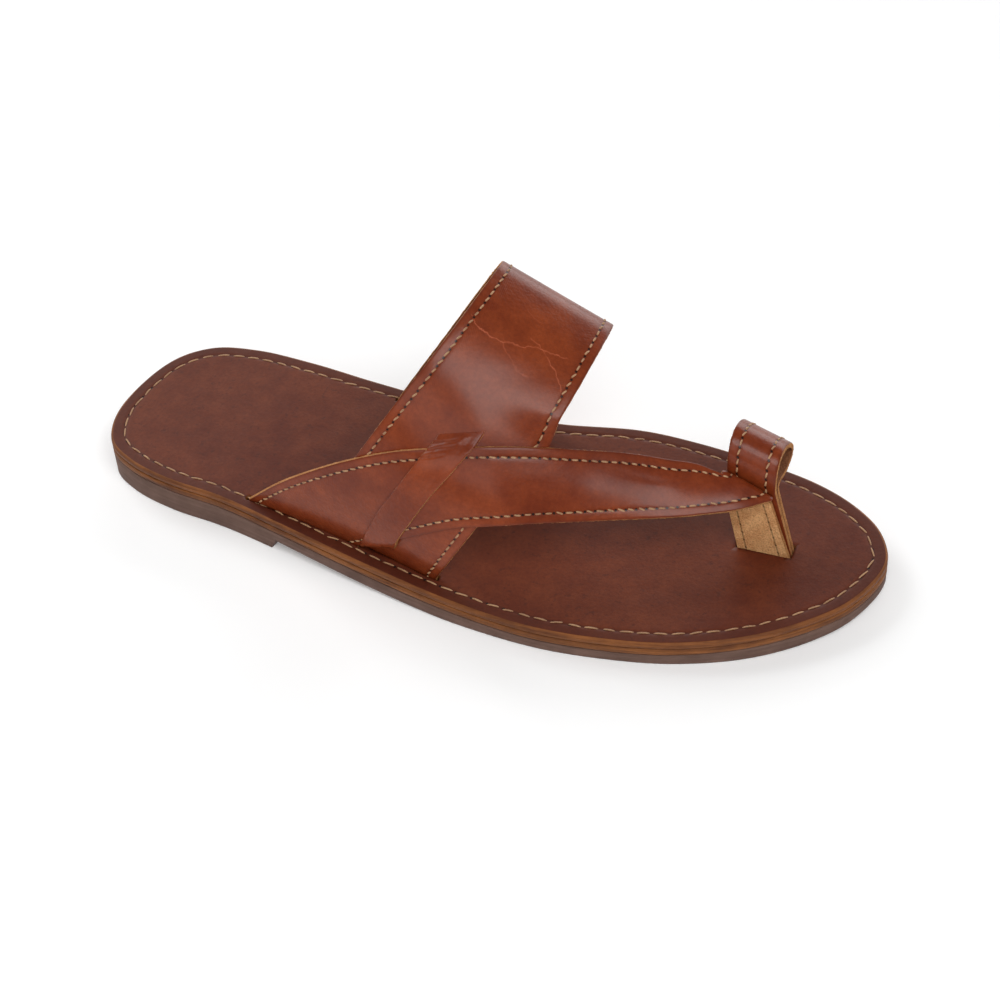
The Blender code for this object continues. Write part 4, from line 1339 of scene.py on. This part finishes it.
def thread_finish():
    finish = Finish("thread", 0.6)
    where = finish.place()
    twist = finish.noise(where, 0.0004, 2.0, 0.5).between(0.3, 0.7)
    patches = finish.noise(where, 0.012, 3.0, 0.6).between(0.3, 0.7)
    finish.colour(finish.mix(twist * 0.5 + patches * 0.5, (0.26, 0.125, 0.058), (0.56, 0.33, 0.17)))
    finish.relief(twist * (0.06 * MM))
    return finish.material


def row_of_stitches(name, line, normals, pitch, radius, gap, slant=0.0):
    """Beads along a line of points: bead k lies between the holes at k and k + 1 pitches."""
    length = run_length(line)
    count = int(length[-1] / pitch)
    starts = np.arange(count) * pitch
    jitter = rng.normal(0, 0.035, (len(starts), 2)) * pitch
    ends = np.stack([starts + gap + jitter[:, 0], starts + pitch - gap + jitter[:, 1]], axis=1)

    def read(at, values):
        return np.stack([np.interp(at, length, values[:, k]) for k in range(3)], axis=-1)

    a, b = read(ends[:, 0], line), read(ends[:, 1], line)
    n = unit(read(ends.mean(1), normals))
    t = unit(b - a)
    n = unit(n - (n * t).sum(1, keepdims=True) * t)
    s = np.cross(t, n)
    tilt = rng.normal(0, 0.05, len(starts))[:, None] * np.linalg.norm(b - a, axis=1, keepdims=True)
    tilt = tilt + slant * np.linalg.norm(b - a, axis=1, keepdims=True)
    a, b = a - s * tilt, b + s * tilt
    u = np.linspace(0, 1, 8)
    arch = np.sin(np.pi * u) ** 0.6
    thick = radius * np.array([0.55, 0.85, 1.0, 1.0, 1.0, 1.0, 0.85, 0.55])
    ring_angle = np.linspace(0, 2 * np.pi, 8, endpoint=False)
    middle = a[:, None] * (1 - u)[None, :, None] + b[:, None] * u[None, :, None]
    middle = middle + n[:, None] * ((arch * 1.15 - 0.75) * radius)[None, :, None]
    cosines, sines = (wave(ring_angle)[None, None, :, None] for wave in (np.cos, np.sin))
    around = cosines * n[:, None, None] + sines * s[:, None, None]
    beads = middle[:, :, None] + around * thick[None, :, None, None]
    base_faces = quads(len(u), len(ring_angle), wrap=True)
    size = len(u) * len(ring_angle)
    faces = [tuple(face) for k in range(len(starts)) for face in base_faces + k * size]
    for k in range(len(starts)):
        faces.append(tuple(range(k * size, k * size + 8))[::-1])
        faces.append(tuple(range((k + 1) * size - 8, (k + 1) * size)))
    piece = make_piece(name, beads.reshape(-1, 3), faces, [thread])
    print(name, len(starts), "stitches")
    return piece


def line_normals(outer, inner, shares, width):
    """Outward directions on both stitch lines of a strap."""
    outer_lines, inner_lines = (stitch_lines(face, shares, width) for face in (outer, inner))
    return [unit(a - b) for a, b in zip(outer_lines, inner_lines)]


thread = thread_finish()
THREAD = 0.33 * MM
threads = []
for name, (inner, outer), both_lines, shares, width in (
    ("band_thread", band_faces, band_lines, band_shares, band_width),
    ("strap_thread", strap_faces, strap_lines, strap_shares, strap_width),
    ("ring_thread", ring_faces, ring_lines, ring_shares, ring_width),
):
    normals = line_normals(outer, inner, shares, width)
    for side, line, normal in zip(("rear", "front"), both_lines, normals):
        threads.append(row_of_stitches(f"{name}_{side}", line, normal, STRAP_PITCH, THREAD, 0.58 * MM, 0.09))

sole_line = rim + rim_in * SOLE_STITCH_INSET
sole_line = np.vstack([sole_line, sole_line[:1]])
sole_line = np.column_stack([sole_line, bed_height(np.clip(sole_line[:, 0], 0, SOLE_LENGTH)) - 0.22 * MM])


def sole_stitches():
    """Stitches at even distances round the rim, which is how the needle holes are counted."""
    count = int(round(rim_run[-1] / SOLE_PITCH))
    at = np.arange(0, count * 40 + 1) / 40 * SOLE_PITCH
    line = np.stack([np.interp(at, rim_run, sole_line[:, k]) for k in range(3)], axis=1)
    length = run_length(line)
    pitch = length[-1] / count
    normals = np.tile([0.0, 0.0, 1.0], (len(line), 1))
    return row_of_stitches("sole_thread", line, normals, pitch, 0.30 * MM, 0.42 * MM)


threads.append(sole_stitches())

# %% [markdown]
# ## Floor and light
# A plain pale floor and soft studio light: one large soft box overhead, one behind on the left for the
# sheen on the straps, and a weak one in front.

# %% Floor, lights and world


def area_light(name, position, target, size, power):
    lamp = bpy.data.lights.new(name, "AREA")
    lamp.shape, lamp.size, lamp.size_y, lamp.energy = "RECTANGLE", size[0], size[1], power
    light = bpy.data.objects.new(name, lamp)
    away = unit(np.array(position, float) - np.array(target, float))
    side = unit(np.cross((0.0, 0.0, 1.0), away))
    matrix = np.eye(4)
    matrix[:3, :3] = np.column_stack([side, np.cross(away, side), away])
    matrix[:3, 3] = position
    light.matrix_world = Matrix(matrix.tolist())
    bpy.context.scene.collection.objects.link(light)


floor_finish = Finish("floor", 0.9, Specular_IOR_Level=0.0, Emission_Strength=0.17)
floor_finish.put(floor_finish.shader.inputs["Emission Color"], (1.0, 1.0, 1.0, 1.0))
floor_finish.colour((0.86, 0.86, 0.86))
FLOOR_HALF = 3.0
signs = np.array([[-1, -1, 0], [1, -1, 0], [1, 1, 0], [-1, 1, 0]])
corners = signs * FLOOR_HALF + (SOLE_LENGTH / 2, 0, 0)
floor = make_piece("floor", corners, [(0, 1, 2, 3)], [floor_finish.material], smooth=False)
area_light("key", (0.50, -0.50, 0.95), (0, 0, 0.03), (0.75, 0.55), 7.6)
area_light("backdrop", (0.1, 1.9, 0.55), (0, 0, 0.05), (3.2, 0.9), 30)
area_light("left", (-1.0, 0.35, 0.9), (0, 0, 0.03), (0.9, 0.9), 10)
area_light("front_fill", (-0.2, -1.5, 0.8), (0, 0, 0.03), (1.6, 0.8), 6.5)
world = bpy.data.worlds.new("studio")
world.use_nodes = True
world.node_tree.nodes["Background"].inputs["Color"].default_value = (1, 1, 1, 1)
world.node_tree.nodes["Background"].inputs["Strength"].default_value = 0.13
bpy.context.scene.world = world
bpy.context.scene.view_settings.view_transform = "Standard"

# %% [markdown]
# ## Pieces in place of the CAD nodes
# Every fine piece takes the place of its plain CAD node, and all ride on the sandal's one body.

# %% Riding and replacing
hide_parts("insole")
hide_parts("midsole")
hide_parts("outsole")
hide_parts("upper")
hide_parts("toe_ring")
slots_of = {
    foot_bed_piece: "footbed_leather",
    mid_piece: "edge_leather",
    rubber_piece: "sole_rubber",
    band: "strap_leather",
    strap: "strap_leather",
    bridge: "strap_leather",
    ring: "strap_leather",
}
for piece, slot_name in slots_of.items():
    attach(piece, "root")
for piece in threads:
    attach(piece, "root")
